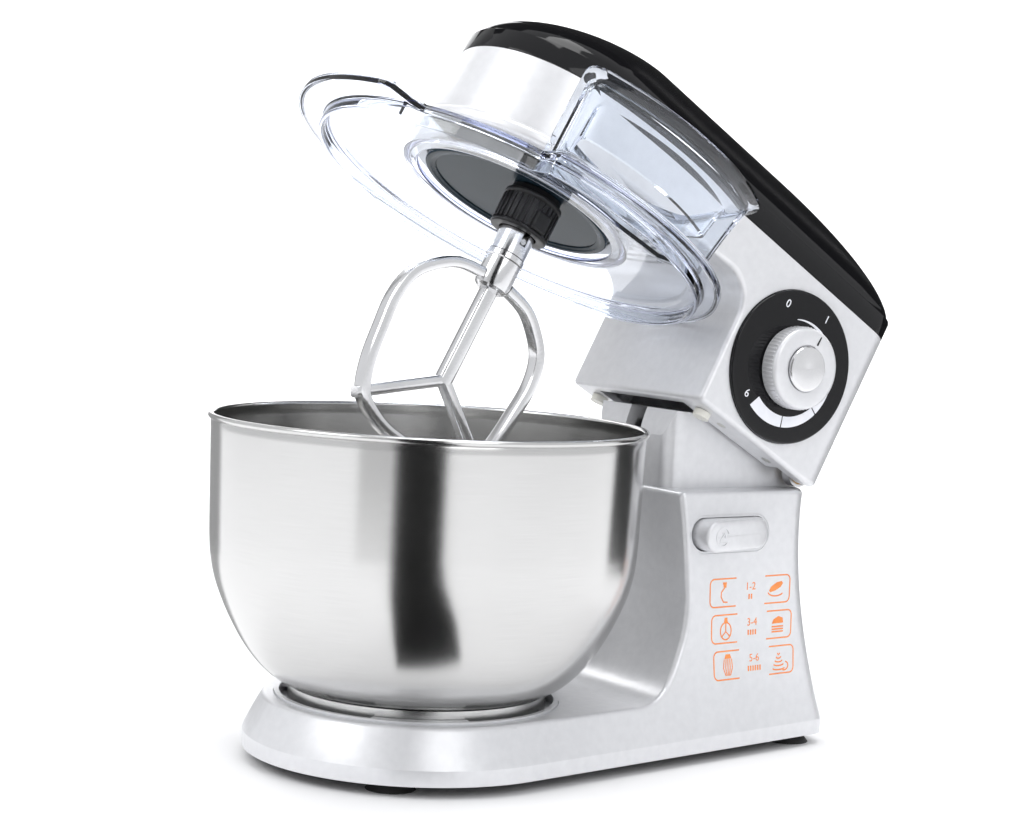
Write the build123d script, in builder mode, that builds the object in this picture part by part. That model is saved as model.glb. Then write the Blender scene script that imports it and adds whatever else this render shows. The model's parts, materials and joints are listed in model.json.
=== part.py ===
from build123d import *
from math import acos, atan2, cos, degrees, hypot, pi, radians, sin, tan
import os

os.makedirs("parts", exist_ok=True)

# A compact tilt-head stand mixer, in millimetres, standing on z = 0.
# -Y is the bowl end, +Y the column end, +X the side with the dial and the release button.
# The head's pieces are drawn with the head down, then swung open about the hinge pin.

# ---- driving dimensions ----
bowl_y = -77.0            # bowl and drive axis
wall = 3.0                # plastic shells
foot_lift = 6.0           # base skirt above the bench

# base
skirt_r = 88.9            # round front of the base
skirt_top = 14.0
plate_r = 79.3            # top edge of the base plate
plate_top = 33.0
rear_half = 56.6          # half width across the rear corners
rear_y = 160.0
rear_corner = 14.0
edge_round = 3.0
column_top = 142.0
column_front = 49.5
column_rear = 142.0
column_half = 50.6        # half width of the column's top

# bowl
rim_r = 111.6
rim_z = 174.3
rim_bead = 1.6
bowl_floor = 37.0
bowl_sheet = 1.0
foot_r = 66.6
foot_z = 29.5
lug_reach = 2.8

# hinge
hinge_y = 137.0
hinge_z = 150.0
pin_r = 4.0
boss_r = 8.0
open_angle = 28.2
block_half = 35.0

# head
drum_r = 61.0
drum_bottom = 198.0
nose_z = 216.0
head_half = 56.0
head_rear = 148.4
split_z = 246.9           # joint line of the head's two shells, at the drive axis
split_fall = 2.33         # degrees that the joint line falls towards the rear
band = 11.5               # upright band of the cover above the joint line
chin_y = 43.0
chin_z = 146.7
sole_rear = 134.0         # where the sole stops falling towards the hinge
sole_fall = 3.0

# drive
disc_r = 52.4
disc_z = 194.0
planet_x = 29.0
planet_dy = -7.7
ring_teeth = 48
planet_teeth = 18
planet_module = 2.0
gear_teeth = 56
pinion_teeth = 14
gear_module = 1.5
pressure_angle = 20.0
backlash = 0.3
motor_y = 84.0
idler_pulley_r = 34.0
motor_pulley_r = 9.0

# dial
dial_y = 87.6
dial_z = 191.1
dial_r = 41.6
dial_face = 60.0
knob_r = 22.4
knob_front = 72.0
cap_r = 12.0

# release button
button_y = 83.0
button_z = 119.5
button_length = 52.0
button_height = 17.0
button_proud = 66.0       # outer face at the thumb end and at the rear end
button_flush = 53.4
pivot_x = 50.0
pivot_y = 101.0

# splash guard and chute
guard_r = 118.0
guard_z = 188.6
guard_hole = 56.0
guard_sheet = 2.2
guard_lip = 7.0           # how far the flange reaches further forward
chute_front = 28.0        # sector of the chute, in degrees before and behind the X axis
chute_rear = 38.0
chute_inner_r = 67.0
chute_inner_x = 66.5
chute_lip_r = 121.5

hinge_axis = Axis((0, hinge_y, hinge_z), (1, 0, 0))
planet_y = bowl_y + planet_dy
idler_y = bowl_y + gear_module * (gear_teeth + pinion_teeth) / 2
planet_angle = degrees(atan2(planet_dy, planet_x))


def swing_open(piece):
    # from the head-down position to the raised one
    return piece.rotate(hinge_axis, -open_angle)


def turned(x, y, z, steps, bore=0.0):
    # round piece on an upright axis: steps of (radius, height) from z upwards
    with BuildPart() as piece:
        level = z
        for radius, height in steps:
            with BuildSketch(Plane.XY.offset(level)):
                with Locations((x, y)):
                    Circle(radius)
                    if bore:
                        Circle(bore, mode=Mode.SUBTRACT)
            extrude(amount=height)
            level += height
    return piece.part


def turned_across(x, y, z, steps, bore=0.0):
    # round piece on an axis along X, steps from x towards +X
    with BuildPart() as piece:
        level = x
        for radius, height in steps:
            with BuildSketch(Plane.YZ.offset(level)):
                with Locations((y, z)):
                    Circle(radius)
                    if bore:
                        Circle(bore, mode=Mode.SUBTRACT)
            extrude(amount=height)
            level += height
    return piece.part


def screws(spots, z, head_r, shank_r, length, up=True):
    # a set of pan-head screws, heads at z, shanks up or down
    step = 1 if up else -1
    head_height = head_r * 0.6
    with BuildPart() as group:
        with BuildSketch(Plane.XY.offset(z)):
            with Locations(*spots):
                Circle(head_r)
        extrude(amount=-step * head_height)
        with BuildSketch(Plane.XY.offset(z)):
            with Locations(*spots):
                Circle(shank_r)
        extrude(amount=step * length)
    return group.part


def keyhole(plane, front_r, front_y, half, rear, corner):
    # plan outline: a round front joined by straight sides to a squarer rear
    with BuildSketch(plane) as outline:
        with Locations((0, front_y)):
            Circle(front_r)
        with Locations((half - corner, rear - corner), (corner - half, rear - corner)):
            Circle(corner)
        make_hull()
    return outline.sketch


# ---- base ----
def base_form(inset):
    # solid outer form of the base, moved inwards by inset: stacked plan outlines cut by a side profile
    corner = rear_corner - inset
    low = foot_lift - (1 if inset else 0)
    levels = [
        (skirt_top, skirt_r, bowl_y, rear_half, rear_y),
        (plate_top, plate_r, bowl_y, rear_half - 2.6, rear_y - 5),
        (70, plate_r - 11, bowl_y + 16, rear_half - 4.6, column_rear + 4),
        (column_top, column_half + 1, bowl_y + 62, column_half, column_rear),
    ]
    with BuildPart() as skirt:
        add(keyhole(Plane.XY.offset(low), skirt_r - inset, bowl_y, rear_half - inset, rear_y - inset, corner))
        extrude(amount=skirt_top - low)
    with BuildPart() as upper:
        for height, front_r, front_y, half, rear in levels:
            add(keyhole(Plane.XY.offset(height), front_r - inset, front_y,
                        half - inset, rear - inset, corner))
        loft()
        with BuildSketch(Plane.YZ):
            with BuildLine():
                front = column_front + inset
                top = column_top - inset
                deck = plate_top - inset
                Line((rear_y + 5, skirt_top), (rear_y + 5, top))
                Line((rear_y + 5, top), (front, top))
                Line((front, top), (front + 3.5, 86))
                Spline((front + 3.5, 86), (front - 6, 52), (16 + inset, deck),
                       tangents=[(0, -1), (-1, -0.02)])
                Line((16 + inset, deck), (-200, deck))
                Line((-200, deck), (-200, skirt_top))
                Line((-200, skirt_top), (rear_y + 5, skirt_top))
            make_face()
        extrude(amount=skirt_r, both=True, mode=Mode.INTERSECT)
        if not inset:
            rims = upper.edges().filter_by(lambda e: e.center().Z > plate_top - 1 and e.length > 12)
            rims = rims.filter_by(lambda e: abs((e % 0.5).Z) < 0.98 or e.center().Y < column_rear - 20)
            fillet(rims, edge_round)
    with BuildPart() as form:
        add(skirt.part)
        add(upper.part)
    return form.part


seat_r = 73.8
seat_floor = 27.0
block_opening = (29.0, 57.0, 118.0)       # half width, front and rear of the cable opening
base_screw_spots = [(58, -110), (-58, -110), (62, -20), (-62, -20), (40, 128), (-40, 128)]
foot_spots = [(52, -122), (-52, -122), (40, 142), (-40, 142)]
seat_screw_spots = [(50 * cos(radians(a)), bowl_y + 50 * sin(radians(a))) for a in (30, 150, 270)]
inlet_z = 46.0

post_r = 4.5
screw_bore = 1.7
rib_length = 24.0
# posts for the base screws, the rear pair tied to the side walls by ribs
with BuildPart() as screw_posts:
    for x, y in base_screw_spots:
        with BuildSketch(Plane.XY.offset(foot_lift + wall)):
            with Locations((x, y)):
                Circle(post_r)
        under_seat = hypot(x, y - bowl_y) < seat_r
        post_top = seat_floor if under_seat else plate_top - wall / 2
        extrude(amount=post_top - foot_lift - wall)
        if y > 0:
            with BuildSketch(Plane.XY.offset(foot_lift + wall)):
                with Locations((x + rib_length / 2 if x > 0 else x - rib_length / 2, y)):
                    Rectangle(rib_length, 2.5)
            extrude(amount=20)
    with BuildSketch(Plane.XY.offset(foot_lift + wall)):
        with Locations(*base_screw_spots):
            Circle(screw_bore)
    extrude(amount=seat_floor - 2 * wall - foot_lift, mode=Mode.SUBTRACT)
    add(base_form(wall / 2), mode=Mode.INTERSECT)

with BuildPart() as base_shell:
    add(base_form(0))
    add(base_form(wall), mode=Mode.SUBTRACT)
    # pad under the bowl seat, then the recess that holds it
    with BuildSketch(Plane.XY.offset(seat_floor - wall)):
        with Locations((0, bowl_y)):
            Circle(seat_r + wall)
    extrude(amount=plate_top - wall - seat_floor + wall + 1)
    with BuildSketch(Plane.XY.offset(seat_floor)):
        with Locations((0, bowl_y)):
            Circle(seat_r)
    extrude(amount=20, mode=Mode.SUBTRACT)
    with BuildSketch(Plane.XY.offset(seat_floor - 6)):
        with Locations(*seat_screw_spots):
            Circle(1.9)
    extrude(amount=8, mode=Mode.SUBTRACT)
    # cable and latch opening in the column's top
    with BuildSketch(Plane.XY.offset(column_top - 10)):
        with Locations((0, (block_opening[1] + block_opening[2]) / 2)):
            Rectangle(2 * block_opening[0], block_opening[2] - block_opening[1])
    extrude(amount=12, mode=Mode.SUBTRACT)
    # slot for the release button
    with BuildSketch(Plane.YZ.offset(30)):
        with Locations((button_y - 0.6, button_z)):
            SlotOverall(button_length + 4.2, button_height + 3.4)
    extrude(amount=60, mode=Mode.SUBTRACT)
    # hole for the cord bush
    with BuildSketch(Plane.XZ.offset(-rear_y + 30)):
        with Locations((0, inlet_z)):
            Circle(8.1)
    extrude(amount=-60, mode=Mode.SUBTRACT)
    add(screw_posts.part)
base_shell.part.label = "base_shell"
export_step(base_shell.part, "parts/base_shell.step")

with BuildPart() as base_cover:
    add(keyhole(Plane.XY.offset(foot_lift + 0.2), skirt_r - wall - 0.3, bowl_y, rear_half - wall - 0.3,
                rear_y - wall - 0.3, rear_corner - wall))
    extrude(amount=wall - 0.4)
    with BuildSketch(Plane.XY.offset(foot_lift)):
        with Locations(*base_screw_spots):
            Circle(1.9)
        with Locations(*foot_spots):
            Circle(5.2)
    extrude(amount=wall, mode=Mode.SUBTRACT)
base_cover.part.label = "base_cover"
export_step(base_cover.part, "parts/base_cover.step")

rubber_r = 12.5
with BuildPart() as rubber_feet:
    for spot in foot_spots:
        with BuildSketch():
            with Locations(spot):
                Circle(rubber_r)
        with BuildSketch(Plane.XY.offset(foot_lift)):
            with Locations(spot):
                Circle(8)
        loft()
    with BuildSketch(Plane.XY.offset(foot_lift)):
        with Locations(*foot_spots):
            Circle(5)
    extrude(amount=wall)
    with BuildSketch(Plane.XY.offset(foot_lift + wall)):
        with Locations(*foot_spots):
            Circle(6.5)
    extrude(amount=1.5)
rubber_feet.part.label = "rubber_feet"
export_step(rubber_feet.part, "parts/rubber_feet.step")

base_screws = screws(base_screw_spots, foot_lift, 3.4, 1.6, 14)
base_screws.label = "base_screws"
export_step(base_screws, "parts/base_screws.step")

# bayonet ring that the bowl's foot drops into
tab_sector = 20.0         # half angle of a tab
with BuildPart() as bowl_seat:
    with BuildSketch(Plane.XY.offset(seat_floor)):
        with Locations((0, bowl_y)):
            Circle(seat_r - 0.3)
            Circle(44, mode=Mode.SUBTRACT)
        with Locations(*seat_screw_spots):
            Circle(1.9, mode=Mode.SUBTRACT)
    extrude(amount=2)
    with BuildSketch(Plane.XY.offset(seat_floor)):
        with Locations((0, bowl_y)):
            Circle(seat_r - 0.3)
            Circle(seat_r - 2.8, mode=Mode.SUBTRACT)
    extrude(amount=7.2)
    for turn in (90, 210, 330):
        with BuildSketch(Plane.XY.offset(plate_top - 1)):
            with Locations((0, bowl_y)):
                Circle(seat_r - 0.5)
                Circle(foot_r + 0.6, mode=Mode.SUBTRACT)
            with BuildLine():
                reach = 90
                left = radians(turn - tab_sector)
                right = radians(turn + tab_sector)
                Polyline((0, bowl_y), (reach * cos(left), bowl_y + reach * sin(left)),
                         (reach * cos(right), bowl_y + reach * sin(right)), close=True)
            make_face(mode=Mode.INTERSECT)
        extrude(amount=2.2)
bowl_seat.part.label = "bowl_seat"
export_step(bowl_seat.part, "parts/bowl_seat.step")

seat_screws = screws(seat_screw_spots, seat_floor + 2, 3.2, 1.8, 6, up=False)
seat_screws.label = "seat_screws"
export_step(seat_screws, "parts/seat_screws.step")

bush_bore = 3.7
bush_end = rear_y - 2
with BuildPart() as cord_bush:
    with BuildSketch(Plane.XZ.offset(-bush_end)):
        with Locations((0, inlet_z)):
            Circle(11)
    extrude(amount=14)
    add(base_form(0), mode=Mode.SUBTRACT)
    with BuildSketch(Plane.XZ.offset(-bush_end)):
        with Locations((0, inlet_z)):
            Circle(8)
    extrude(amount=17)
    with BuildSketch(Plane.XZ.offset(-bush_end)):
        with Locations((0, inlet_z)):
            Circle(bush_bore)
    extrude(amount=20, mode=Mode.SUBTRACT)
cord_bush.part.label = "cord_bush"
export_step(cord_bush.part, "parts/cord_bush.step")

with BuildPart() as terminal_block:
    with BuildSketch(Plane.XY.offset(plate_top - 10)):
        with Locations((0, 100)):
            Rectangle(34, 16)
    extrude(amount=16)
    with BuildSketch(Plane.XY.offset(plate_top + 6)):
        with GridLocations(11, 1, 3, 1):
            with Locations((0, 100)):
                Circle(2.5)
    extrude(amount=-8, mode=Mode.SUBTRACT)
terminal_block.part.label = "terminal_block"
export_step(terminal_block.part, "parts/terminal_block.step")

# ---- hinge block and pin ----
with BuildPart() as hinge_block:
    with BuildSketch(Plane.YZ):
        with BuildLine():
            front = 53.0
            sweep_r = 86.3        # the head's opening edge swings just outside this
            rise = (sweep_r ** 2 - (hinge_y - front) ** 2) ** 0.5
            shoulder = (57.5, hinge_z + (sweep_r ** 2 - (hinge_y - 57.5) ** 2) ** 0.5)
            Line((hinge_y + 4, column_top), (front, column_top))
            Line((front, column_top), (front, hinge_z + rise))
            RadiusArc((front, hinge_z + rise), shoulder, sweep_r)
            Line(shoulder, (100, 180))
            Line((100, 180), (hinge_y - 4, hinge_z + boss_r + 6))
            Line((hinge_y - 4, hinge_z + boss_r + 6), (hinge_y + 4, column_top))
        make_face()
        with Locations((hinge_y, hinge_z)):
            Circle(boss_r)
    extrude(amount=block_half, both=True)
    # hollow inside, open below, with a slot in the top for the latch striker
    with BuildSketch(Plane.YZ):
        with BuildLine():
            Polyline((57, column_top - 1), (57, 166), (62, 176), (98, 173), (112, 164), (118, column_top - 1),
                     close=True)
        make_face()
    extrude(amount=block_opening[0], both=True, mode=Mode.SUBTRACT)
    with BuildSketch(Plane.XY.offset(160)):
        with Locations((0, 75)):
            Rectangle(14, 50)
    extrude(amount=60, mode=Mode.SUBTRACT)
    # room for the lift spring between the two ears, and the pin's bore
    with BuildSketch(Plane.XY.offset(column_top - 1)):
        with Locations((0, hinge_y)):
            Rectangle(30, 26)
    extrude(amount=60, mode=Mode.SUBTRACT)
    with BuildSketch(Plane.YZ.offset(-block_half)):
        with Locations((hinge_y, hinge_z)):
            Circle(pin_r)
    extrude(amount=2 * block_half, mode=Mode.SUBTRACT)
    fillet(hinge_block.edges().filter_by(Axis.Z).sort_by(Axis.Y)[:2], 10)
hinge_block.part.label = "hinge_block"
export_step(hinge_block.part, "parts/hinge_block.step")

hinge_pin = turned_across(-47, hinge_y, hinge_z, [(pin_r, 94)])
hinge_pin.label = "hinge_pin"
export_step(hinge_pin, "parts/hinge_pin.step")

with BuildPart() as lift_spring:
    with BuildLine():
        coil = Helix(pitch=3, height=24, radius=5.9, center=(-12, hinge_y, hinge_z), direction=(1, 0, 0))
    with BuildSketch(Plane(origin=coil @ 0, z_dir=coil % 0)):
        Circle(0.9)
    sweep(path=coil)
lift_spring.part.label = "lift_spring"
export_step(lift_spring.part, "parts/lift_spring.step")

# ---- release button and latch ----
with BuildPart() as button_bezel:
    with BuildSketch(Plane.YZ.offset(40)):
        with Locations((button_y - 0.6, button_z)):
            SlotOverall(button_length + 4, button_height + 3.2)
            SlotOverall(button_length + 2.6, button_height + 0.8, mode=Mode.SUBTRACT)
    extrude(amount=30)
    add(base_form(0.2), mode=Mode.INTERSECT)
button_bezel.part.label = "button_bezel"
export_step(button_bezel.part, "parts/button_bezel.step")

button_front = button_y - button_length / 2
button_rear = button_y + button_length / 2
with BuildPart() as release_button:
    with BuildSketch(Plane.YZ.offset(44)):
        with Locations((button_y, button_z)):
            SlotOverall(button_length, button_height)
    extrude(amount=30)
    with BuildSketch(Plane.XY.offset(button_z - 20)):
        with BuildLine():
            Line((40, button_front - 1), (40, button_rear + 1))
            Line((40, button_rear + 1), (button_flush, button_rear + 1))
            Spline((button_flush, button_rear + 1), (58, button_y + 6), (button_proud - 0.5, button_front + 8),
                   (button_proud, button_front - 1))
            Line((button_proud, button_front - 1), (40, button_front - 1))
        make_face()
    extrude(amount=40, mode=Mode.INTERSECT)
    with BuildSketch(Plane.XY.offset(button_z - 20)):
        with Locations((pivot_x, pivot_y)):
            Circle(1.55)
    extrude(amount=40, mode=Mode.SUBTRACT)
release_button.part.label = "release_button"
export_step(release_button.part, "parts/release_button.step")

button_pin = turned(pivot_x, pivot_y, button_z - 8.7, [(1.5, 17.4)])
button_pin.label = "button_pin"
export_step(button_pin, "parts/button_pin.step")

with BuildPart() as button_spring:
    with BuildLine():
        button_coil = Helix(pitch=1.6, height=8, radius=3, center=(35.4, 74, button_z), direction=(1, 0, 0))
    with BuildSketch(Plane(origin=button_coil @ 0, z_dir=button_coil % 0)):
        Circle(0.35)
    sweep(path=button_coil)
button_spring.part.label = "button_spring"
export_step(button_spring.part, "parts/button_spring.step")

with BuildPart() as latch_bar:
    with BuildSketch(Plane.XY.offset(button_z - 5)):
        with Locations((15.75, 62)):
            Rectangle(55.5, 6)
    extrude(amount=6)
    with BuildSketch(Plane.XY.offset(button_z - 5)):
        with Locations((-10, 62)):
            Rectangle(4, 6)
    extrude(amount=44)
    with BuildSketch(Plane.XY.offset(button_z + 34)):
        with Locations((-8.5, 62)):
            Rectangle(5, 6)
    extrude(amount=5)
latch_bar.part.label = "latch_bar"
export_step(latch_bar.part, "parts/latch_bar.step")

# ---- bowl ----
def bowl_form(inset):
    # solid of revolution under the bowl's outer or inner skin
    with BuildPart() as form:
        with BuildSketch(Plane.XZ.offset(-bowl_y)):
            with BuildLine():
                low = bowl_floor + inset
                bottom_r = foot_r - 6
                Line((0, low), (bottom_r, low))
                Spline((bottom_r, low), (80 - inset, 47 + inset), (96 - inset, 68), (106.5 - inset, 92),
                       (110 - inset, 115), tangents=[(1, 0.1), (0.03, 1)])
                Line((110 - inset, 115), (rim_r - inset, rim_z))
                Line((rim_r - inset, rim_z), (0, rim_z))
                Line((0, rim_z), (0, low))
            make_face()
        revolve(axis=Axis((0, bowl_y, 0), (0, 0, 1)))
    return form.part


with BuildPart() as bowl:
    add(bowl_form(0))
    add(bowl_form(bowl_sheet), mode=Mode.SUBTRACT)
    with BuildSketch(Plane.XZ.offset(-bowl_y)):
        with Locations((rim_r, rim_z)):
            Circle(rim_bead)
    revolve(axis=Axis((0, bowl_y, 0), (0, 0, 1)))
bowl.part.label = "bowl"
export_step(bowl.part, "parts/bowl.step")

with BuildPart() as bowl_foot:
    with BuildSketch(Plane.XY.offset(foot_z)):
        with Locations((0, bowl_y)):
            Circle(foot_r)
            Circle(foot_r - 2, mode=Mode.SUBTRACT)
    extrude(amount=bowl_floor + 5 - foot_z)
    add(bowl_form(0), mode=Mode.SUBTRACT)
    for turn in (30, 150, 270):
        with BuildSketch(Plane.XY.offset(foot_z)):
            with Locations((0, bowl_y)):
                Circle(foot_r + lug_reach)
                Circle(foot_r - 1, mode=Mode.SUBTRACT)
            with BuildLine():
                reach = 90
                left = radians(turn - 13)
                right = radians(turn + 13)
                Polyline((0, bowl_y), (reach * cos(left), bowl_y + reach * sin(left)),
                         (reach * cos(right), bowl_y + reach * sin(right)), close=True)
            make_face(mode=Mode.INTERSECT)
        extrude(amount=1.8)
bowl_foot.part.label = "bowl_foot"
export_step(bowl_foot.part, "parts/bowl_foot.step")

# ---- head shells ----
head_corner = 16.0
bead_z = 206.5            # raised ring round the drum
bead_height = 6.0
bead_reach = 4.0


def split_height(y):
    return split_z - (y - bowl_y) * tan(radians(split_fall))


split_plane = Plane((0, 0, split_height(0)), x_dir=(1, 0, 0),
                    z_dir=(0, sin(radians(split_fall)), cos(radians(split_fall))))


def head_outline(plane, inset, shrink=1.0, centre=-20.0):
    # plan outline of the head, drawn smaller about a point on its middle line
    half = (head_half - inset) * shrink
    rear = centre + (head_rear - inset - centre) * shrink
    front = centre + (bowl_y - centre) * shrink
    return keyhole(plane, (drum_r - inset) * shrink, front, half, rear, (head_corner - inset) * shrink)


def housing_form(inset):
    # solid lower half of the head, moved inwards by inset; open at the joint line
    over = 6 if inset else 0
    with BuildPart() as body:
        add(head_outline(Plane.XY.offset(chin_z - 10), inset))
        extrude(amount=split_z - chin_z + 20)
        with BuildSketch(Plane.YZ):
            with BuildLine():
                nose = nose_z + inset
                chin = chin_y + inset
                low = chin_z + inset
                Line((-150, split_height(-150) + over), (-150, nose))
                Line((-150, nose), (chin - 22, nose))
                ThreePointArc((chin - 22, nose), (chin - 7, nose - 5.5), (chin - 1, nose - 18))
                Line((chin - 1, nose - 18), (chin, low))
                heel = sole_rear + 9
                Line((chin, low), (sole_rear, low - sole_fall))
                Line((sole_rear, low - sole_fall), (heel, low - 1.1))
                Line((heel, low - 1.1), (head_rear - inset, low + 1.3))
                Line((head_rear - inset, low + 1.3), (head_rear, split_height(head_rear) + over))
                Line((head_rear, split_height(head_rear) + over), (-150, split_height(-150) + over))
            make_face()
        extrude(amount=70, both=True, mode=Mode.INTERSECT)
        if not inset:
            rims = body.edges().filter_by(lambda e: e.center().Z < nose_z + 2 and e.length > 9)
            fillet(rims.filter_by(lambda e: e.center().Y > chin_y - 30), edge_round)
    with BuildPart() as drum:
        with BuildSketch(Plane.XY.offset(drum_bottom + (inset if inset else 0))):
            with Locations((0, bowl_y)):
                Circle(drum_r - inset)
        extrude(amount=nose_z - drum_bottom + 10)
        if not inset:
            with BuildSketch(Plane.XY.offset(bead_z)):
                with Locations((0, bowl_y)):
                    Circle(drum_r + bead_reach)
            extrude(amount=bead_height)
    with BuildPart() as form:
        add(body.part)
        add(drum.part)
    return form.part


def sole_height(y):
    # underside of the head's rear half
    return chin_z - sole_fall * (y - chin_y) / (sole_rear - chin_y)


cover_screw_spots = [(46, 72), (-46, 72), (46, 110), (-46, 110)]

with BuildPart() as head_housing:
    add(housing_form(0))
    add(housing_form(wall), mode=Mode.SUBTRACT)
    # screw posts with counterbores in the sole
    for x, y in cover_screw_spots:
        with BuildSketch(Plane.XY.offset(sole_height(y) + 1)):
            with Locations((x, y)):
                Circle(4.2)
        extrude(amount=12)
        with BuildSketch(Plane.XY.offset(sole_height(y) - 2)):
            with Locations((x, y)):
                Circle(2.8)
        extrude(amount=3.6, mode=Mode.SUBTRACT)
        with BuildSketch(Plane.XY.offset(sole_height(y))):
            with Locations((x, y)):
                Circle(1.7)
        extrude(amount=20, mode=Mode.SUBTRACT)
    # mouth of the drum
    with BuildSketch(Plane.XY.offset(drum_bottom - 1)):
        with Locations((0, bowl_y)):
            Circle(disc_r + 1.4)
    extrude(amount=8, mode=Mode.SUBTRACT)
    # openings round the hinge block and the hinge knuckles
    with BuildSketch(Plane.XY.offset(chin_z - 5)):
        with Locations((0, (49 + 126) / 2)):
            Rectangle(75.5, 126 - 49)
        with Locations((0, (118 + head_rear - wall) / 2)):
            Rectangle(95, head_rear - wall - 118)
    extrude(amount=22, mode=Mode.SUBTRACT)
    # cooling louvres behind the drum
    for row in range(5):
        radius = 70 + 6.5 * row
        with BuildSketch(Plane.XY.offset(nose_z - 2)):
            with BuildLine():
                CenterArc((0, bowl_y), radius, 90 - 24, 48)
                CenterArc((0, bowl_y), radius + 2.6, 90 - 24, 48)
                for edge in (66, 114):
                    a = radians(edge)
                    Line((radius * cos(a), bowl_y + radius * sin(a)),
                         ((radius + 2.6) * cos(a), bowl_y + (radius + 2.6) * sin(a)))
            make_face()
        extrude(amount=8, mode=Mode.SUBTRACT)
    # hole that the dial plate closes
    with BuildSketch(Plane.YZ.offset(40)):
        with Locations((dial_y, dial_z)):
            Circle(dial_r + 0.3)
    extrude(amount=30, mode=Mode.SUBTRACT)
head_housing.part.label = "head_housing"
export_step(swing_open(head_housing.part), "parts/head_housing.step")

with BuildPart() as cover_screws:
    for spot in cover_screw_spots:
        add(screws([spot], sole_height(spot[1]) + 1.6, 2.6, 1.6, 10))
cover_screws.part.label = "cover_screws"
export_step(swing_open(cover_screws.part), "parts/cover_screws.step")


def cover_form(inset):
    # stacked outlines, each smaller than the one below
    steps = [(0, 1.0), (band, 1.0), (band + 8, 0.93), (band + 20, 0.79), (band + 30, 0.63), (band + 37, 0.46),
             (band + 42, 0.22)]
    with BuildPart() as skirt:
        add(head_outline(split_plane.offset(-1 if inset else 0), inset))
        extrude(amount=band + (1 if inset else 0), dir=split_plane.z_dir)
    with BuildPart() as dome:
        for rise, shrink in steps[1:]:
            add(head_outline(split_plane.offset(rise - inset * (rise > band)), inset, shrink))
        loft(ruled=True)
    with BuildPart() as form:
        add(skirt.part)
        add(dome.part)
    return form.part


with BuildPart() as head_cover:
    add(cover_form(0))
    add(cover_form(wall), mode=Mode.SUBTRACT)
head_cover.part.label = "head_cover"
export_step(swing_open(head_cover.part), "parts/head_cover.step")

# ---- chassis inside the head ----
frame_z = 190.0
gearbox_z = 219.0
bridge_z = 239.0
pillar_spots = [(48, -96), (-48, -96), (34, -8), (-34, -8)]
frame_screw_spots = [(30, 8), (-30, 8), (40, 100), (-40, 100)]

with BuildPart() as head_frame:
    with BuildSketch(Plane.XY.offset(frame_z)):
        with Locations((0, 95)):
            Rectangle(87, 96)
        with Locations((0, motor_y)):
            Circle(9, mode=Mode.SUBTRACT)
        with Locations(*frame_screw_spots[2:]):
            Circle(1.8, mode=Mode.SUBTRACT)
    extrude(amount=4)
    for side in (-1, 1):
        with BuildSketch(Plane.YZ.offset(side * 41)):
            with BuildLine():
                Polyline((hinge_y - boss_r, hinge_z), (hinge_y + 7.5, hinge_z), (hinge_y + 6, frame_z + 1),
                         (108, frame_z + 1), close=True)
            make_face()
            with Locations((hinge_y, hinge_z)):
                Circle(boss_r - 0.4)
                Circle(6, mode=Mode.SUBTRACT)
        extrude(amount=3, both=True)
head_frame.part.label = "head_frame"
export_step(swing_open(head_frame.part), "parts/head_frame.step")

with BuildPart() as hinge_bushes:
    for start in (-44, 36.5):
        add(turned_across(start, hinge_y, hinge_z, [(6, 7.5)], bore=pin_r + 0.05))
hinge_bushes.part.label = "hinge_bushes"
export_step(swing_open(hinge_bushes.part), "parts/hinge_bushes.step")

with BuildPart() as latch_striker:
    with BuildSketch(Plane.XZ.offset(-59)):
        with BuildLine():
            Polyline((-8, frame_z), (8, frame_z), (8, frame_z - 2.5), (4, frame_z - 4), (4, 153),
                     (-4, 153), (-4, frame_z - 4), (-8, frame_z - 2.5), close=True)
        make_face()
        with Locations((-2, 160)):
            Rectangle(6, 6, mode=Mode.SUBTRACT)
    extrude(amount=-6)
latch_striker.part.label = "latch_striker"
export_step(swing_open(latch_striker.part), "parts/latch_striker.step")

pad_y = 57.0
pad_low = column_top + 0.5
with BuildPart() as stop_pads:
    for side in (-1, 1):
        add(turned(side * 46, pad_y, pad_low, [(4.6, sole_height(pad_y + 4.6) - pad_low)]))
stop_pads.part.label = "stop_pads"
export_step(swing_open(stop_pads.part), "parts/stop_pads.step")

with BuildPart() as gearbox_plate:
    with BuildSketch(Plane.XY.offset(gearbox_z)):
        with Locations((0, bowl_y)):
            Circle(drum_r - wall - 0.4)
        with Locations((0, -19)):
            Rectangle(84, 68)
        with Locations((0, bowl_y)):
            Circle(14, mode=Mode.SUBTRACT)
        with Locations((0, idler_y)):
            Circle(9, mode=Mode.SUBTRACT)
    extrude(amount=4)
    # flange that the ring gear hangs from
    with BuildSketch(Plane.XY.offset(gearbox_z - 2.5)):
        with Locations((0, bowl_y)):
            Circle(53.5)
            Circle(48.5, mode=Mode.SUBTRACT)
    extrude(amount=2.5)
    # pillars up to the bridge
    with BuildSketch(Plane.XY.offset(gearbox_z + 4)):
        with Locations(*pillar_spots):
            Circle(4.5)
    extrude(amount=bridge_z - gearbox_z - 4)
gearbox_plate.part.label = "gearbox_plate"
export_step(swing_open(gearbox_plate.part), "parts/gearbox_plate.step")

with BuildPart() as gearbox_bridge:
    with BuildSketch(Plane.XY.offset(bridge_z)):
        with Locations(*pillar_spots):
            Circle(6)
        make_hull()
        with Locations((0, bowl_y)):
            Circle(14, mode=Mode.SUBTRACT)
        with Locations((0, idler_y)):
            Circle(9, mode=Mode.SUBTRACT)
        with Locations(*pillar_spots):
            Circle(1.7, mode=Mode.SUBTRACT)
    extrude(amount=4)
gearbox_bridge.part.label = "gearbox_bridge"
export_step(swing_open(gearbox_bridge.part), "parts/gearbox_bridge.step")

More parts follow.
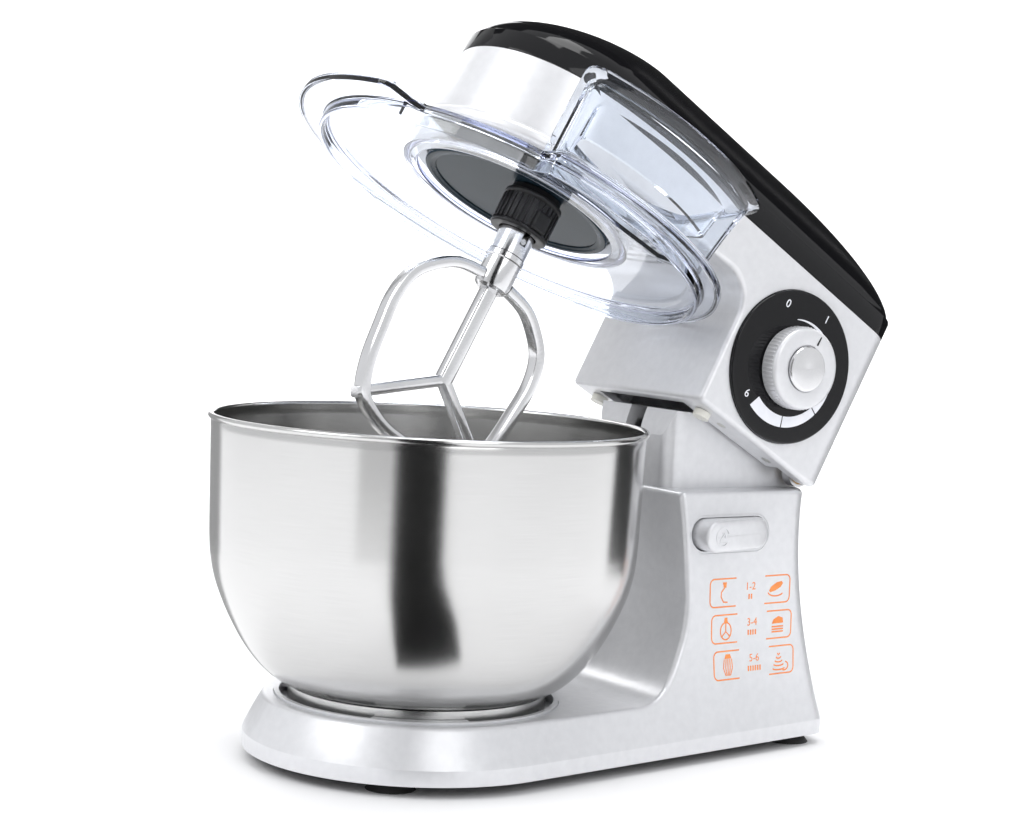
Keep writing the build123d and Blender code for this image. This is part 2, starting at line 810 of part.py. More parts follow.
with BuildPart() as chassis_screws:
    add(screws(pillar_spots, bridge_z + 4, 3, 1.6, 4, up=False))
    add(screws(frame_screw_spots[2:], frame_z + 4, 3, 1.7, 12, up=False))
chassis_screws.part.label = "chassis_screws"
export_step(swing_open(chassis_screws.part), "parts/chassis_screws.step")


# ---- gears ----
def tooth_half_angle(radius, teeth, module, slack):
    # involute flank: half the angle that a tooth fills at a radius
    pitch_r = teeth * module / 2
    base_r = pitch_r * cos(radians(pressure_angle))

    def involute(r):
        roll = acos(min(1.0, base_r / r))
        return tan(roll) - roll
    return pi / (2 * teeth) - slack / (2 * pitch_r) + involute(pitch_r) - involute(max(radius, base_r))


def gear_face(plane, centre, teeth, module, radii, slack, phase):
    # outline with straight-sided chords between the radii of each flank
    points = []
    for tooth in range(teeth):
        middle = radians(phase) + 2 * pi * tooth / teeth
        for side, order in ((-1, radii), (1, radii[::-1])):
            for radius in order:
                angle = middle + side * tooth_half_angle(radius, teeth, module, slack)
                points.append((centre[0] + radius * cos(angle), centre[1] + radius * sin(angle)))
    with BuildSketch(plane) as outline:
        with BuildLine():
            Polyline(*points, close=True)
        make_face()
    return outline.sketch


def flank_radii(teeth, module, inside=1.25, outside=1.0):
    pitch_r = teeth * module / 2
    return [pitch_r - inside * module, pitch_r - 0.5 * module, pitch_r, pitch_r + 0.5 * module,
            pitch_r + outside * module]


planet_gear_z = 205.5
with BuildPart() as ring_gear:
    with BuildSketch(Plane.XY.offset(planet_gear_z - 1)):
        with Locations((0, bowl_y)):
            Circle(54.2)
    extrude(amount=gearbox_z - 2.5 - planet_gear_z + 1)
    add(gear_face(Plane.XY.offset(planet_gear_z - 2), (0, bowl_y), ring_teeth, planet_module,
                  flank_radii(ring_teeth, planet_module, 1.0, 1.3), -backlash, planet_angle))
    extrude(amount=20, mode=Mode.SUBTRACT)
ring_gear.part.label = "ring_gear"
export_step(swing_open(ring_gear.part), "parts/ring_gear.step")

with BuildPart() as planet_gear:
    add(gear_face(Plane.XY.offset(planet_gear_z), (planet_x, planet_y), planet_teeth, planet_module,
                  flank_radii(planet_teeth, planet_module), backlash, planet_angle))
    extrude(amount=9)
    with BuildSketch(Plane.XY.offset(planet_gear_z)):
        with Locations((planet_x, planet_y)):
            Circle(5)
    extrude(amount=9, mode=Mode.SUBTRACT)
planet_gear.part.label = "planet_gear"
export_step(swing_open(planet_gear.part), "parts/planet_gear.step")

gear_z = 226.0
shaft_top = 268.0         # top of the two belt shafts
with BuildPart() as drive_gear:
    add(gear_face(Plane.XY.offset(gear_z), (0, bowl_y), gear_teeth, gear_module,
                  flank_radii(gear_teeth, gear_module), backlash, 90))
    extrude(amount=8)
    with BuildSketch(Plane.XY.offset(gear_z)):
        with Locations((0, bowl_y)):
            Circle(6)
    extrude(amount=8, mode=Mode.SUBTRACT)
drive_gear.part.label = "drive_gear"
export_step(swing_open(drive_gear.part), "parts/drive_gear.step")

with BuildPart() as idler_pinion:
    add(gear_face(Plane.XY.offset(gear_z - 0.5), (0, idler_y), pinion_teeth, gear_module,
                  flank_radii(pinion_teeth, gear_module), backlash, 270 + 180 / pinion_teeth))
    extrude(amount=9)
    add(turned(0, idler_y, gearbox_z, [(4, gear_z - 0.5 - gearbox_z)]))
    add(turned(0, idler_y, gear_z + 8.5, [(4, shaft_top - gear_z - 8.5)]))
idler_pinion.part.label = "idler_pinion"
export_step(swing_open(idler_pinion.part), "parts/idler_pinion.step")

# ---- drive shafts ----
belt_z = 256.0
belt_height = 9.0
belt_gap = 0.3
belt_sheet = 1.4

carrier_shaft = turned(0, bowl_y, 200, [(6, 46)])
carrier_shaft.label = "carrier_shaft"
export_step(swing_open(carrier_shaft), "parts/carrier_shaft.step")

with BuildPart() as planet_carrier:
    with BuildSketch(Plane.XY.offset(disc_z)):
        with Locations((0, bowl_y)):
            Circle(disc_r)
        with Locations((planet_x, planet_y)):
            Circle(8, mode=Mode.SUBTRACT)
    extrude(amount=6)
    with BuildSketch(Plane.XY.offset(disc_z + 6)):
        with Locations((0, bowl_y)):
            Circle(9)
            Circle(6, mode=Mode.SUBTRACT)
    extrude(amount=14)
    with BuildSketch(Plane.XY.offset(disc_z + 6)):
        with Locations((-planet_x, bowl_y - planet_dy)):
            Circle(11)
    extrude(amount=4)
    rims = planet_carrier.edges().filter_by(GeomType.CIRCLE).sort_by(Axis.Z)
    fillet(rims.group_by(SortBy.RADIUS)[-1][0], 1.5)
planet_carrier.part.label = "planet_carrier"
export_step(swing_open(planet_carrier.part), "parts/planet_carrier.step")

output_bush = turned(planet_x, planet_y, disc_z + 0.2, [(8, 10.5)], bore=5.05)
output_bush.label = "output_bush"
export_step(swing_open(output_bush), "parts/output_bush.step")

with BuildPart() as shaft_bearings:
    add(turned(0, bowl_y, gearbox_z - 3.5, [(14, 7.5)], bore=6.05))
    add(turned(0, bowl_y, bridge_z, [(14, 5)], bore=6.05))
    add(turned(0, idler_y, gearbox_z, [(9, 4)], bore=4.05))
    add(turned(0, idler_y, bridge_z, [(9, 5)], bore=4.05))
shaft_bearings.part.label = "shaft_bearings"
export_step(swing_open(shaft_bearings.part), "parts/shaft_bearings.step")

hub_r = 15.5
tube_r = 9.6
tube_top = 177.0
tube_bottom = 137.5
cross_z = 166.0
with BuildPart() as output_shaft:
    add(turned(planet_x, planet_y, 146, [(5, planet_gear_z + 9.5 - 146)]))
    add(turned_across(planet_x - 9, planet_y, cross_z, [(1.6, 18)]), mode=Mode.SUBTRACT)
output_shaft.part.label = "output_shaft"
export_step(swing_open(output_shaft.part), "parts/output_shaft.step")

with BuildPart() as drive_hub:
    with BuildSketch(Plane.XY.offset(170.5)):
        with Locations((planet_x, planet_y)):
            Circle(hub_r)
            Circle(tube_r + 0.6, mode=Mode.SUBTRACT)
    extrude(amount=8)
    with BuildSketch(Plane.XY.offset(178.5)):
        with Locations((planet_x, planet_y)):
            Circle(hub_r)
            Circle(5, mode=Mode.SUBTRACT)
    extrude(amount=disc_z - 0.4 - 178.5)
    with BuildSketch(Plane.XY.offset(172.5)):
        with Locations((planet_x + 12.5, planet_y)):
            Rectangle(8, 9)
    extrude(amount=10)
    with BuildSketch(Plane.XY.offset(170)):
        with Locations((planet_x, planet_y)):
            Circle(tube_r + 0.6)
    extrude(amount=8.5, mode=Mode.SUBTRACT)
drive_hub.part.label = "drive_hub"
export_step(swing_open(drive_hub.part), "parts/drive_hub.step")

cross_pin = turned_across(planet_x - 9, planet_y, cross_z, [(1.6, 18)])
cross_pin.label = "cross_pin"
export_step(swing_open(cross_pin), "parts/cross_pin.step")

# ---- flat beater ----
beater_bar = 6.5
beater_depth = 9.0
beater_low = 45.0
beater_half = 50.0
shoulder_z = 140.0
with BuildPart() as flat_beater:
    with BuildSketch(Plane.YZ.offset(planet_x)):
        # rim of the blade, then the windows between its stem and spokes
        with BuildLine():
            half = beater_half
            Line((planet_y - 9, shoulder_z + 6), (planet_y + 9, shoulder_z + 6))
            ThreePointArc((planet_y + 9, shoulder_z + 6), (planet_y + 38, shoulder_z - 6),
                          (planet_y + half, 112))
            Line((planet_y + half, 112), (planet_y + half - 4, 72))
            ThreePointArc((planet_y + half - 4, 72), (planet_y + 33, beater_low + 7), (planet_y, beater_low))
            ThreePointArc((planet_y, beater_low), (planet_y - 33, beater_low + 7), (planet_y - half + 4, 72))
            Line((planet_y - half + 4, 72), (planet_y - half, 112))
            ThreePointArc((planet_y - half, 112), (planet_y - 38, shoulder_z - 6),
                          (planet_y - 9, shoulder_z + 6))
        make_face()
        offset(amount=-beater_bar, mode=Mode.SUBTRACT)
        with BuildLine():
            stem_low = 88
            Polyline((planet_y - 4.5, shoulder_z + 2), (planet_y + 4.5, shoulder_z + 2),
                     (planet_y + 4, stem_low), (planet_y + 43, 58), (planet_y + 39, 53),
                     (planet_y, stem_low - 8), (planet_y - 39, 53),
                     (planet_y - 43, 58), (planet_y - 4, stem_low), close=True)
        make_face()
    extrude(amount=beater_depth / 2, both=True)
    with BuildSketch(Plane.XY.offset(tube_bottom)):
        with Locations((planet_x, planet_y)):
            Circle(tube_r)
    extrude(amount=tube_top - tube_bottom)
    with BuildSketch(Plane.XY.offset(tube_bottom + 5)):
        with Locations((planet_x, planet_y)):
            Circle(5.3)
    extrude(amount=tube_top - tube_bottom, mode=Mode.SUBTRACT)
    # slots that ride over the cross pin
    with BuildSketch(Plane.XY.offset(cross_z - 2.2)):
        with Locations((planet_x, planet_y)):
            Rectangle(2 * tube_r + 4, 3.8)
    extrude(amount=tube_top, mode=Mode.SUBTRACT)
flat_beater.part.label = "flat_beater"
export_step(swing_open(flat_beater.part), "parts/flat_beater.step")

# ---- motor ----
motor_z = frame_z + 7
with BuildPart() as motor_stator:
    with BuildSketch(Plane.XY.offset(motor_z + 6)):
        with Locations((0, motor_y)):
            RectangleRounded(64, 62, 9)
            Circle(26.5, mode=Mode.SUBTRACT)
        for side in (-1, 1):
            with Locations((0, motor_y + side * 23)):
                Rectangle(26, 14)
        with Locations((0, motor_y)):
            Circle(17.6, mode=Mode.SUBTRACT)
    extrude(amount=32)
motor_stator.part.label = "motor_stator"
export_step(swing_open(motor_stator.part), "parts/motor_stator.step")

with BuildPart() as motor_windings:
    for side in (-1, 1):
        with BuildSketch(Plane.XZ.offset(-motor_y - side * 19)):
            with Locations((0, motor_z + 22)):
                RectangleRounded(32, 40, 4)
                Rectangle(26.6, 32.6, mode=Mode.SUBTRACT)
        extrude(amount=1.4, both=True)
motor_windings.part.label = "motor_windings"
export_step(swing_open(motor_windings.part), "parts/motor_windings.step")

with BuildPart() as motor_brackets:
    for level in (motor_z - 3, motor_z + 45):
        with BuildSketch(Plane.XY.offset(level)):
            with Locations((0, motor_y)):
                SlotOverall(66, 22)
                Circle(6, mode=Mode.SUBTRACT)
        extrude(amount=3)
    for side in (-1, 1):
        with BuildSketch(Plane.XY.offset(motor_z)):
            with Locations((side * 29, motor_y)):
                Rectangle(6, 12)
        extrude(amount=5.9)
        with BuildSketch(Plane.XY.offset(motor_z + 38.1)):
            with Locations((side * 29, motor_y)):
                Rectangle(6, 12)
        extrude(amount=7)
motor_brackets.part.label = "motor_brackets"
export_step(swing_open(motor_brackets.part), "parts/motor_brackets.step")

with BuildPart() as motor_bushes:
    add(turned(0, motor_y, motor_z - 3, [(6, 4)], bore=3.05))
    add(turned(0, motor_y, motor_z + 44, [(6, 4)], bore=3.05))
motor_bushes.part.label = "motor_bushes"
export_step(swing_open(motor_bushes.part), "parts/motor_bushes.step")

brush_z = motor_z + 40.5
with BuildPart() as brush_holders:
    for side in (-1, 1):
        with BuildSketch(Plane.YZ.offset(side * 18)):
            with Locations((motor_y, brush_z)):
                Rectangle(8, 8)
                Rectangle(5.2, 5.2, mode=Mode.SUBTRACT)
        extrude(amount=6.5, both=True)
brush_holders.part.label = "brush_holders"
export_step(swing_open(brush_holders.part), "parts/brush_holders.step")

with BuildPart() as carbon_brushes:
    for side in (-1, 1):
        with BuildSketch(Plane.YZ.offset(side * 15.2)):
            with Locations((motor_y, brush_z)):
                Rectangle(5, 5)
        extrude(amount=5.5, both=True)
carbon_brushes.part.label = "carbon_brushes"
export_step(swing_open(carbon_brushes.part), "parts/carbon_brushes.step")

with BuildPart() as rotor_core:
    with BuildSketch(Plane.XY.offset(motor_z + 6)):
        with Locations((0, motor_y)):
            Circle(16.9)
            Circle(3, mode=Mode.SUBTRACT)
            with PolarLocations(14.6, 12):
                Rectangle(5, 2.2, mode=Mode.SUBTRACT)
    extrude(amount=30)
rotor_core.part.label = "rotor_core"
export_step(swing_open(rotor_core.part), "parts/rotor_core.step")

rotor_shaft = turned(0, motor_y, motor_z - 4, [(3, shaft_top - motor_z + 4)])
rotor_shaft.label = "rotor_shaft"
export_step(swing_open(rotor_shaft), "parts/rotor_shaft.step")

commutator = turned(0, motor_y, motor_z + 36.5, [(9.2, 7)], bore=3)
commutator.label = "commutator"
export_step(swing_open(commutator), "parts/commutator.step")

with BuildPart() as cooling_fan:
    add(turned(0, motor_y, motor_z + 49, [(28, 1.4)], bore=3))
    add(turned(0, motor_y, motor_z + 49, [(7, 7)], bore=3))
    with BuildSketch(Plane.XY.offset(motor_z + 50)):
        with Locations((0, motor_y)):
            with PolarLocations(17, 11):
                Rectangle(20, 1.3, rotation=24)
    extrude(amount=5)
cooling_fan.part.label = "cooling_fan"
export_step(swing_open(cooling_fan.part), "parts/cooling_fan.step")

pulley_flange = 1.2
pulley_z = belt_z - 0.3 - pulley_flange
groove_height = belt_height + 0.6
motor_flange_r = motor_pulley_r + 2
motor_pulley = turned(0, motor_y, pulley_z, [(motor_flange_r, pulley_flange), (motor_pulley_r, groove_height),
                                             (motor_flange_r, pulley_flange)], bore=3)
motor_pulley.label = "motor_pulley"
export_step(swing_open(motor_pulley), "parts/motor_pulley.step")

idler_flange_r = idler_pulley_r + 1.8
idler_pulley = turned(0, idler_y, pulley_z, [(idler_flange_r, pulley_flange), (idler_pulley_r, groove_height),
                                             (idler_flange_r, pulley_flange)], bore=4)
idler_pulley.label = "idler_pulley"
export_step(swing_open(idler_pulley), "parts/idler_pulley.step")


def belt_loop(plane, extra):
    with BuildSketch(plane) as outline:
        with Locations((0, idler_y)):
            Circle(idler_pulley_r + extra)
        with Locations((0, motor_y)):
            Circle(motor_pulley_r + extra)
        make_hull()
    return outline.sketch


with BuildPart() as drive_belt:
    add(belt_loop(Plane.XY.offset(belt_z), belt_gap + belt_sheet))
    extrude(amount=belt_height)
    add(belt_loop(Plane.XY.offset(belt_z), belt_gap))
    extrude(amount=belt_height, mode=Mode.SUBTRACT)
drive_belt.part.label = "drive_belt"
export_step(swing_open(drive_belt.part), "parts/drive_belt.step")

# ---- speed dial and control ----
with BuildPart() as dial_plate:
    add(turned_across(dial_face - 3.2, dial_y, dial_z, [(dial_r, 3.2)], bore=3.4))
    add(turned_across(dial_face - 9, dial_y, dial_z, [(dial_r - 1.9, 5.8)], bore=22))
    rims = dial_plate.edges().filter_by(GeomType.CIRCLE).group_by(Axis.X)[-1]
    fillet(rims.sort_by(SortBy.RADIUS)[-1], 1.4)
dial_plate.part.label = "dial_plate"
export_step(swing_open(dial_plate.part), "parts/dial_plate.step")

with BuildPart() as speed_knob:
    add(turned_across(dial_face + 0.6, dial_y, dial_z, [(knob_r, knob_front - dial_face - 0.6)]))
    fillet(speed_knob.edges().filter_by(GeomType.CIRCLE).sort_by(Axis.X)[-1], 2)
    # flutes round the grip, a pointer notch and the recess of the cap
    with BuildSketch(Plane.YZ.offset(dial_face + 3)):
        with Locations((dial_y, dial_z)):
            with PolarLocations(knob_r + 0.5, 36):
                Circle(1.0)
    extrude(amount=knob_front - dial_face - 6, mode=Mode.SUBTRACT)
    with BuildSketch(Plane.YZ.offset(knob_front - 1.2)):
        with Locations((dial_y, dial_z)):
            Circle(cap_r + 0.2)
    extrude(amount=2, mode=Mode.SUBTRACT)
    add(turned_across(44, dial_y, dial_z, [(3.3, dial_face + 0.6 - 44)]))
speed_knob.part.label = "speed_knob"
export_step(swing_open(speed_knob.part), "parts/speed_knob.step")

with BuildPart() as knob_cap:
    add(turned_across(knob_front - 1.2, dial_y, dial_z, [(cap_r, 3.4)]))
    fillet(knob_cap.edges().filter_by(GeomType.CIRCLE).sort_by(Axis.X)[-1], 2)
knob_cap.part.label = "knob_cap"
export_step(swing_open(knob_cap.part), "parts/knob_cap.step")

with BuildPart() as speed_switch:
    with BuildSketch(Plane.YZ.offset(43.8)):
        with Locations((dial_y, dial_z)):
            RectangleRounded(26, 26, 3)
            Circle(3.35, mode=Mode.SUBTRACT)
    extrude(amount=7)
speed_switch.part.label = "speed_switch"
export_step(swing_open(speed_switch.part), "parts/speed_switch.step")

with BuildPart() as control_board:
    with BuildSketch(Plane.YZ.offset(41.8)):
        with Locations((85, 212)):
            Rectangle(64, 74 - 42)
    extrude(amount=1.6)
    with BuildSketch(Plane.YZ.offset(43.4)):
        with Locations((62, 216)):
            Rectangle(12, 16)
        with Locations((106, 220)):
            Circle(5)
    extrude(amount=7)
control_board.part.label = "control_board"
export_step(swing_open(control_board.part), "parts/control_board.step")

# ---- splash guard and chute ----
with BuildPart() as splash_guard:
    with BuildSketch(Plane.XZ.offset(-bowl_y)):
        with BuildLine():
            t = guard_sheet
            z = guard_z
            # hub collar, inner plate, step down inside the rim, outer flange
            Polyline((drum_r + 0.6, z + 16), (drum_r + 2.6, z + 16), (drum_r + 2.6, z + 2 * t),
                     (101, z + 2 * t),
                     (104, z + t), (guard_r, z + t), (guard_r, z), (109, z), (109, z - 7), (107, z - 7),
                     (107, z), (103, z), (100, z + t), (guard_hole, z + t), (guard_hole, z + 2 * t),
                     (drum_r + 0.6, z + 2 * t), close=True)
        make_face()
    revolve(axis=Axis((0, bowl_y, 0), (0, 0, 1)))
    # the flange reaches further forward, round a second centre
    with BuildSketch(Plane.XY.offset(guard_z)):
        with Locations((0, bowl_y - guard_lip)):
            Circle(guard_r)
        with Locations((0, bowl_y)):
            Circle(guard_r - 6, mode=Mode.SUBTRACT)
        with Locations((0, bowl_y - guard_r)):
            Rectangle(3 * guard_r, 2 * guard_r, mode=Mode.INTERSECT)
    extrude(amount=guard_sheet)
    # the flange is cut back beside the chute
    with BuildSketch(Plane.XY.offset(guard_z - 10)):
        with Locations((0, bowl_y)):
            Circle(guard_r + 2 * guard_lip)
            Circle(102, mode=Mode.SUBTRACT)
        with BuildLine():
            reach = 200
            Polyline((0, bowl_y), (reach * cos(radians(-65)), bowl_y + reach * sin(radians(-65))),
                     (reach * cos(radians(-30)), bowl_y + reach * sin(radians(-30))), close=True)
        make_face(mode=Mode.INTERSECT)
    extrude(amount=30, mode=Mode.SUBTRACT)
    # opening under the chute
    with BuildSketch(Plane.XY.offset(guard_z - 10)):
        with Locations((0, bowl_y)):
            Circle(99)
            Circle(72, mode=Mode.SUBTRACT)
        with BuildLine():
            front_edge = radians(chute_front - 4)
            rear_edge = radians(chute_rear - 4)
            Polyline((0, bowl_y), (reach * cos(front_edge), bowl_y - reach * sin(front_edge)),
                     (reach * cos(rear_edge), bowl_y + reach * sin(rear_edge)), close=True)
        make_face(mode=Mode.INTERSECT)
        with Locations((chute_inner_x + 3.5 + reach / 2, bowl_y)):
            Rectangle(reach, 2 * reach, mode=Mode.INTERSECT)
    extrude(amount=30, mode=Mode.SUBTRACT)
splash_guard.part.label = "splash_guard"
export_step(swing_open(splash_guard.part), "parts/splash_guard.step")


def chute_mouth(radius):
    # the mouth slopes down towards the head
    return 204 + (radius - chute_inner_r) * 0.62


def chute_form(inset):
    # sector block: upright inner walls, outer wall flaring to a lip
    low = guard_z + 2 * guard_sheet + (-2 if inset else 0.1)
    drive_axis = Axis((0, bowl_y, 0), (0, 0, 1))
    edge = 1.3 * inset
    with BuildPart() as form:
        with BuildSketch(Plane.XZ.offset(-bowl_y)):
            with BuildLine():
                inner = chute_inner_r + inset
                top = 10 if inset else 0
                lip = chute_lip_r - inset
                Polyline((inner, low), (108 - inset, low), (112 - inset, 214), (lip, chute_mouth(lip) + top),
                         (inner, chute_mouth(inner) + top), close=True)
            make_face()
        revolve(axis=drive_axis, revolution_arc=chute_front + chute_rear - 2 * edge)
    sector = form.part.rotate(drive_axis, -(chute_front - edge))
    with BuildPart() as trimmed:
        add(sector)
        with BuildSketch(Plane.XY.offset(guard_z)):
            with Locations((chute_inner_x + inset + guard_r / 2, bowl_y)):
                Rectangle(guard_r, 3 * guard_r)
        extrude(amount=guard_r, mode=Mode.INTERSECT)
    return trimmed.part


with BuildPart() as feed_chute:
    add(chute_form(0))
    add(chute_form(1.8), mode=Mode.SUBTRACT)
feed_chute.part.label = "feed_chute"
export_step(swing_open(feed_chute.part), "parts/feed_chute.step")
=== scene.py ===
import json
import math

import bmesh
import bpy
import numpy as np
from mathutils import Matrix, Vector
from mathutils.bvhtree import BVHTree


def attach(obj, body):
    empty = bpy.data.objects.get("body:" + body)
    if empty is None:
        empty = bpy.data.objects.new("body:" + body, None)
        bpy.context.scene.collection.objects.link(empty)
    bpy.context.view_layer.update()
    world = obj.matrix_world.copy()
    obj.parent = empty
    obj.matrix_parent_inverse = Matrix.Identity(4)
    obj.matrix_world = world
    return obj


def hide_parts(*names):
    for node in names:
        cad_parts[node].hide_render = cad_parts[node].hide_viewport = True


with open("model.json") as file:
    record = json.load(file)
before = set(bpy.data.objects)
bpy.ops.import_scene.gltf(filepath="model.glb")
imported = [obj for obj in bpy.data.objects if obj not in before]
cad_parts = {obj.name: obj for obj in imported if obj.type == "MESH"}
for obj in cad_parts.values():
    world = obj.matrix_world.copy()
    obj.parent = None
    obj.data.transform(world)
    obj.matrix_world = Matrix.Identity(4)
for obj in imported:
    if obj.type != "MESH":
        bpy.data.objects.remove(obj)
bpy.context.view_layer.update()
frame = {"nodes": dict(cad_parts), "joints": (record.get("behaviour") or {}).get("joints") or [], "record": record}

mm = 0.001                                   # sizes below are in millimetres
joints = {joint["name"]: joint for joint in frame["joints"]}

# the head's pieces are drawn with the head down, then swung up about the hinge
hinge = Vector(joints["head_tilt"]["pos_m"])
tilt = math.radians(joints["head_tilt"]["range_deg"][1])
raiseHead = Matrix.Translation(hinge) @ Matrix.Rotation(-tilt, 4, "X") @ Matrix.Translation(-hinge)
lowerHead = raiseHead.inverted()


def headDown(jointName):
    return lowerHead @ Vector(joints[jointName]["pos_m"]) / mm


drive = headDown("carrier_spin")             # drive axis, on the disc's underside
planet = headDown("output_spin")
dial = headDown("knob_turn")
bowlY = drive.y
print("frame loaded:", len(frame["nodes"]), "nodes")


# materials
def newMaterial(name):
    material = bpy.data.materials.new(name)
    material.use_nodes = True
    nodes = material.node_tree.nodes
    return material, nodes, material.node_tree.links, nodes["Principled BSDF"]


def addNoise(nodes, links, scale, detail=3.0, stretch=(1, 1, 1), source="Object"):
    coords = nodes.new("ShaderNodeTexCoord")
    mapping = nodes.new("ShaderNodeMapping")
    mapping.inputs["Scale"].default_value = stretch
    noise = nodes.new("ShaderNodeTexNoise")
    noise.inputs["Scale"].default_value = scale
    noise.inputs["Detail"].default_value = detail
    links.new(coords.outputs[source], mapping.inputs["Vector"])
    links.new(mapping.outputs["Vector"], noise.inputs["Vector"])
    return noise.outputs["Fac"]


def addRange(nodes, links, value, low, high):
    span = nodes.new("ShaderNodeMapRange")
    span.inputs["To Min"].default_value = low
    span.inputs["To Max"].default_value = high
    links.new(value, span.inputs["Value"])
    return span.outputs["Result"]


def addBump(nodes, links, shader, height, strength, distance):
    bump = nodes.new("ShaderNodeBump")
    bump.inputs["Strength"].default_value = strength
    bump.inputs["Distance"].default_value = distance
    links.new(height, bump.inputs["Height"])
    links.new(bump.outputs["Normal"], shader.inputs["Normal"])


def addTint(nodes, links, shader, value, dark, light):
    ramp = nodes.new("ShaderNodeValToRGB")
    ramp.color_ramp.elements[0].color = (*dark, 1)
    ramp.color_ramp.elements[1].color = (*light, 1)
    ramp.color_ramp.elements[0].position = 0.3
    ramp.color_ramp.elements[1].position = 0.7
    links.new(value, ramp.inputs["Fac"])
    links.new(ramp.outputs["Color"], shader.inputs["Base Color"])


def grainedMaterial(name, dark, light, metallic, rough, grain, bump, coat=0.0, stretch=(1, 1, 1)):
    # tint, roughness and fine relief all follow one grain
    material, nodes, links, shader = newMaterial(name)
    shader.inputs["Metallic"].default_value = metallic
    shader.inputs["Coat Weight"].default_value = coat
    shader.inputs["Coat Roughness"].default_value = 0.08
    broad = addNoise(nodes, links, grain * 0.08, 2.0, stretch)
    fine = addNoise(nodes, links, grain, 4.0, stretch)
    addTint(nodes, links, shader, broad, dark, light)
    links.new(addRange(nodes, links, fine, rough * 0.85, rough * 1.15), shader.inputs["Roughness"])
    addBump(nodes, links, shader, fine, bump, 0.0003)
    return material


silverLacquer = grainedMaterial("silverLacquer", (0.73, 0.735, 0.755), (0.77, 0.775, 0.795), 0.4, 0.34,
                                2600, 0.05, 0.0)
pianoBlack = grainedMaterial("pianoBlack", (0.005, 0.005, 0.006), (0.008, 0.008, 0.009), 0.0, 0.07, 60,
                             0.01, 0.0)
mattBlack = grainedMaterial("mattBlack", (0.008, 0.008, 0.009), (0.014, 0.014, 0.015), 0.0, 0.34, 2200,
                            0.1)
footRubber = grainedMaterial("footRubber", (0.02, 0.02, 0.02), (0.035, 0.035, 0.035), 0.0, 0.7, 1500, 0.3)
castAluminium = grainedMaterial("castAluminium", (0.62, 0.62, 0.63), (0.74, 0.74, 0.75), 1.0, 0.34, 900,
                                0.25)
groundSteel = grainedMaterial("groundSteel", (0.5, 0.5, 0.5), (0.62, 0.62, 0.61), 1.0, 0.25, 1500, 0.1,
                              0.0, (1, 1, 8))
zincScrew = grainedMaterial("zincScrew", (0.55, 0.55, 0.52), (0.68, 0.68, 0.64), 1.0, 0.3, 1800, 0.1)
gearNylon = grainedMaterial("gearNylon", (0.78, 0.77, 0.7), (0.84, 0.83, 0.77), 0.0, 0.45, 900, 0.1)
sinteredBronze = grainedMaterial("sinteredBronze", (0.5, 0.32, 0.14), (0.66, 0.44, 0.2), 1.0, 0.42, 2400,
                                 0.3)
coreSheets = grainedMaterial("coreSheets", (0.12, 0.12, 0.13), (0.22, 0.22, 0.23), 0.8, 0.45, 600, 0.5,
                             0.0, (0.2, 0.2, 6))
copperWire = grainedMaterial("copperWire", (0.55, 0.2, 0.07), (0.75, 0.32, 0.13), 1.0, 0.3, 1200, 0.5,
                             0.2, (6, 6, 1))
beltRubber = grainedMaterial("beltRubber", (0.02, 0.02, 0.02), (0.04, 0.04, 0.04), 0.0, 0.6, 1200, 0.3)
graphite = grainedMaterial("graphite", (0.03, 0.03, 0.032), (0.06, 0.06, 0.062), 0.4, 0.5, 1500, 0.2)
boardGreen = grainedMaterial("boardGreen", (0.01, 0.1, 0.04), (0.02, 0.16, 0.07), 0.0, 0.3, 400, 0.1, 0.3)
orangeInk = grainedMaterial("orangeInk", (0.86, 0.24, 0.05), (0.95, 0.33, 0.09), 0.0, 0.5, 1500, 0.03)
whiteInk = grainedMaterial("whiteInk", (0.82, 0.84, 0.9), (0.9, 0.91, 0.95), 0.0, 0.45, 1500, 0.03)
polishedAluminium = grainedMaterial("polishedAluminium", (0.72, 0.72, 0.73), (0.82, 0.82, 0.83), 1.0,
                                    0.16, 500, 0.12)
# black disc: its dark teal colour is a painted sheen, and its own reflection is turned down below
blackDiscPaintedTealSheen = grainedMaterial("blackDiscPaintedTealSheen", (0.012, 0.024, 0.034), (0.016, 0.03, 0.042), 0.0, 0.22, 60, 0.01,
                            0.0)
for finish, level in ((pianoBlack, 0.3), (blackDiscPaintedTealSheen, 0.06), (mattBlack, 0.3)):
    finish.node_tree.nodes["Principled BSDF"].inputs["Specular IOR Level"].default_value = level


def makeBrushedSteel():
    # fine lines run round the bowl, so highlights stretch up and down it
    material, nodes, links, shader = newMaterial("brushedBowlSteel")
    shader.inputs["Metallic"].default_value = 1.0
    shader.inputs["Anisotropic"].default_value = 0.65
    shader.inputs["Anisotropic Rotation"].default_value = 0.25
    tangent = nodes.new("ShaderNodeTangent")
    tangent.direction_type = "UV_MAP"
    links.new(tangent.outputs["Tangent"], shader.inputs["Tangent"])
    lines = addNoise(nodes, links, 60, 5.0, (0.4, 14, 1), "UV")
    smudges = addNoise(nodes, links, 18, 2.0)
    addTint(nodes, links, shader, lines, (0.62, 0.617, 0.61), (0.70, 0.697, 0.69))
    mix = nodes.new("ShaderNodeMath")
    mix.operation = "ADD"
    links.new(addRange(nodes, links, lines, 0.10, 0.16), mix.inputs[0])
    links.new(addRange(nodes, links, smudges, 0.03, 0.09), mix.inputs[1])
    links.new(mix.outputs["Value"], shader.inputs["Roughness"])
    addBump(nodes, links, shader, lines, 0.04, 0.0002)
    return material


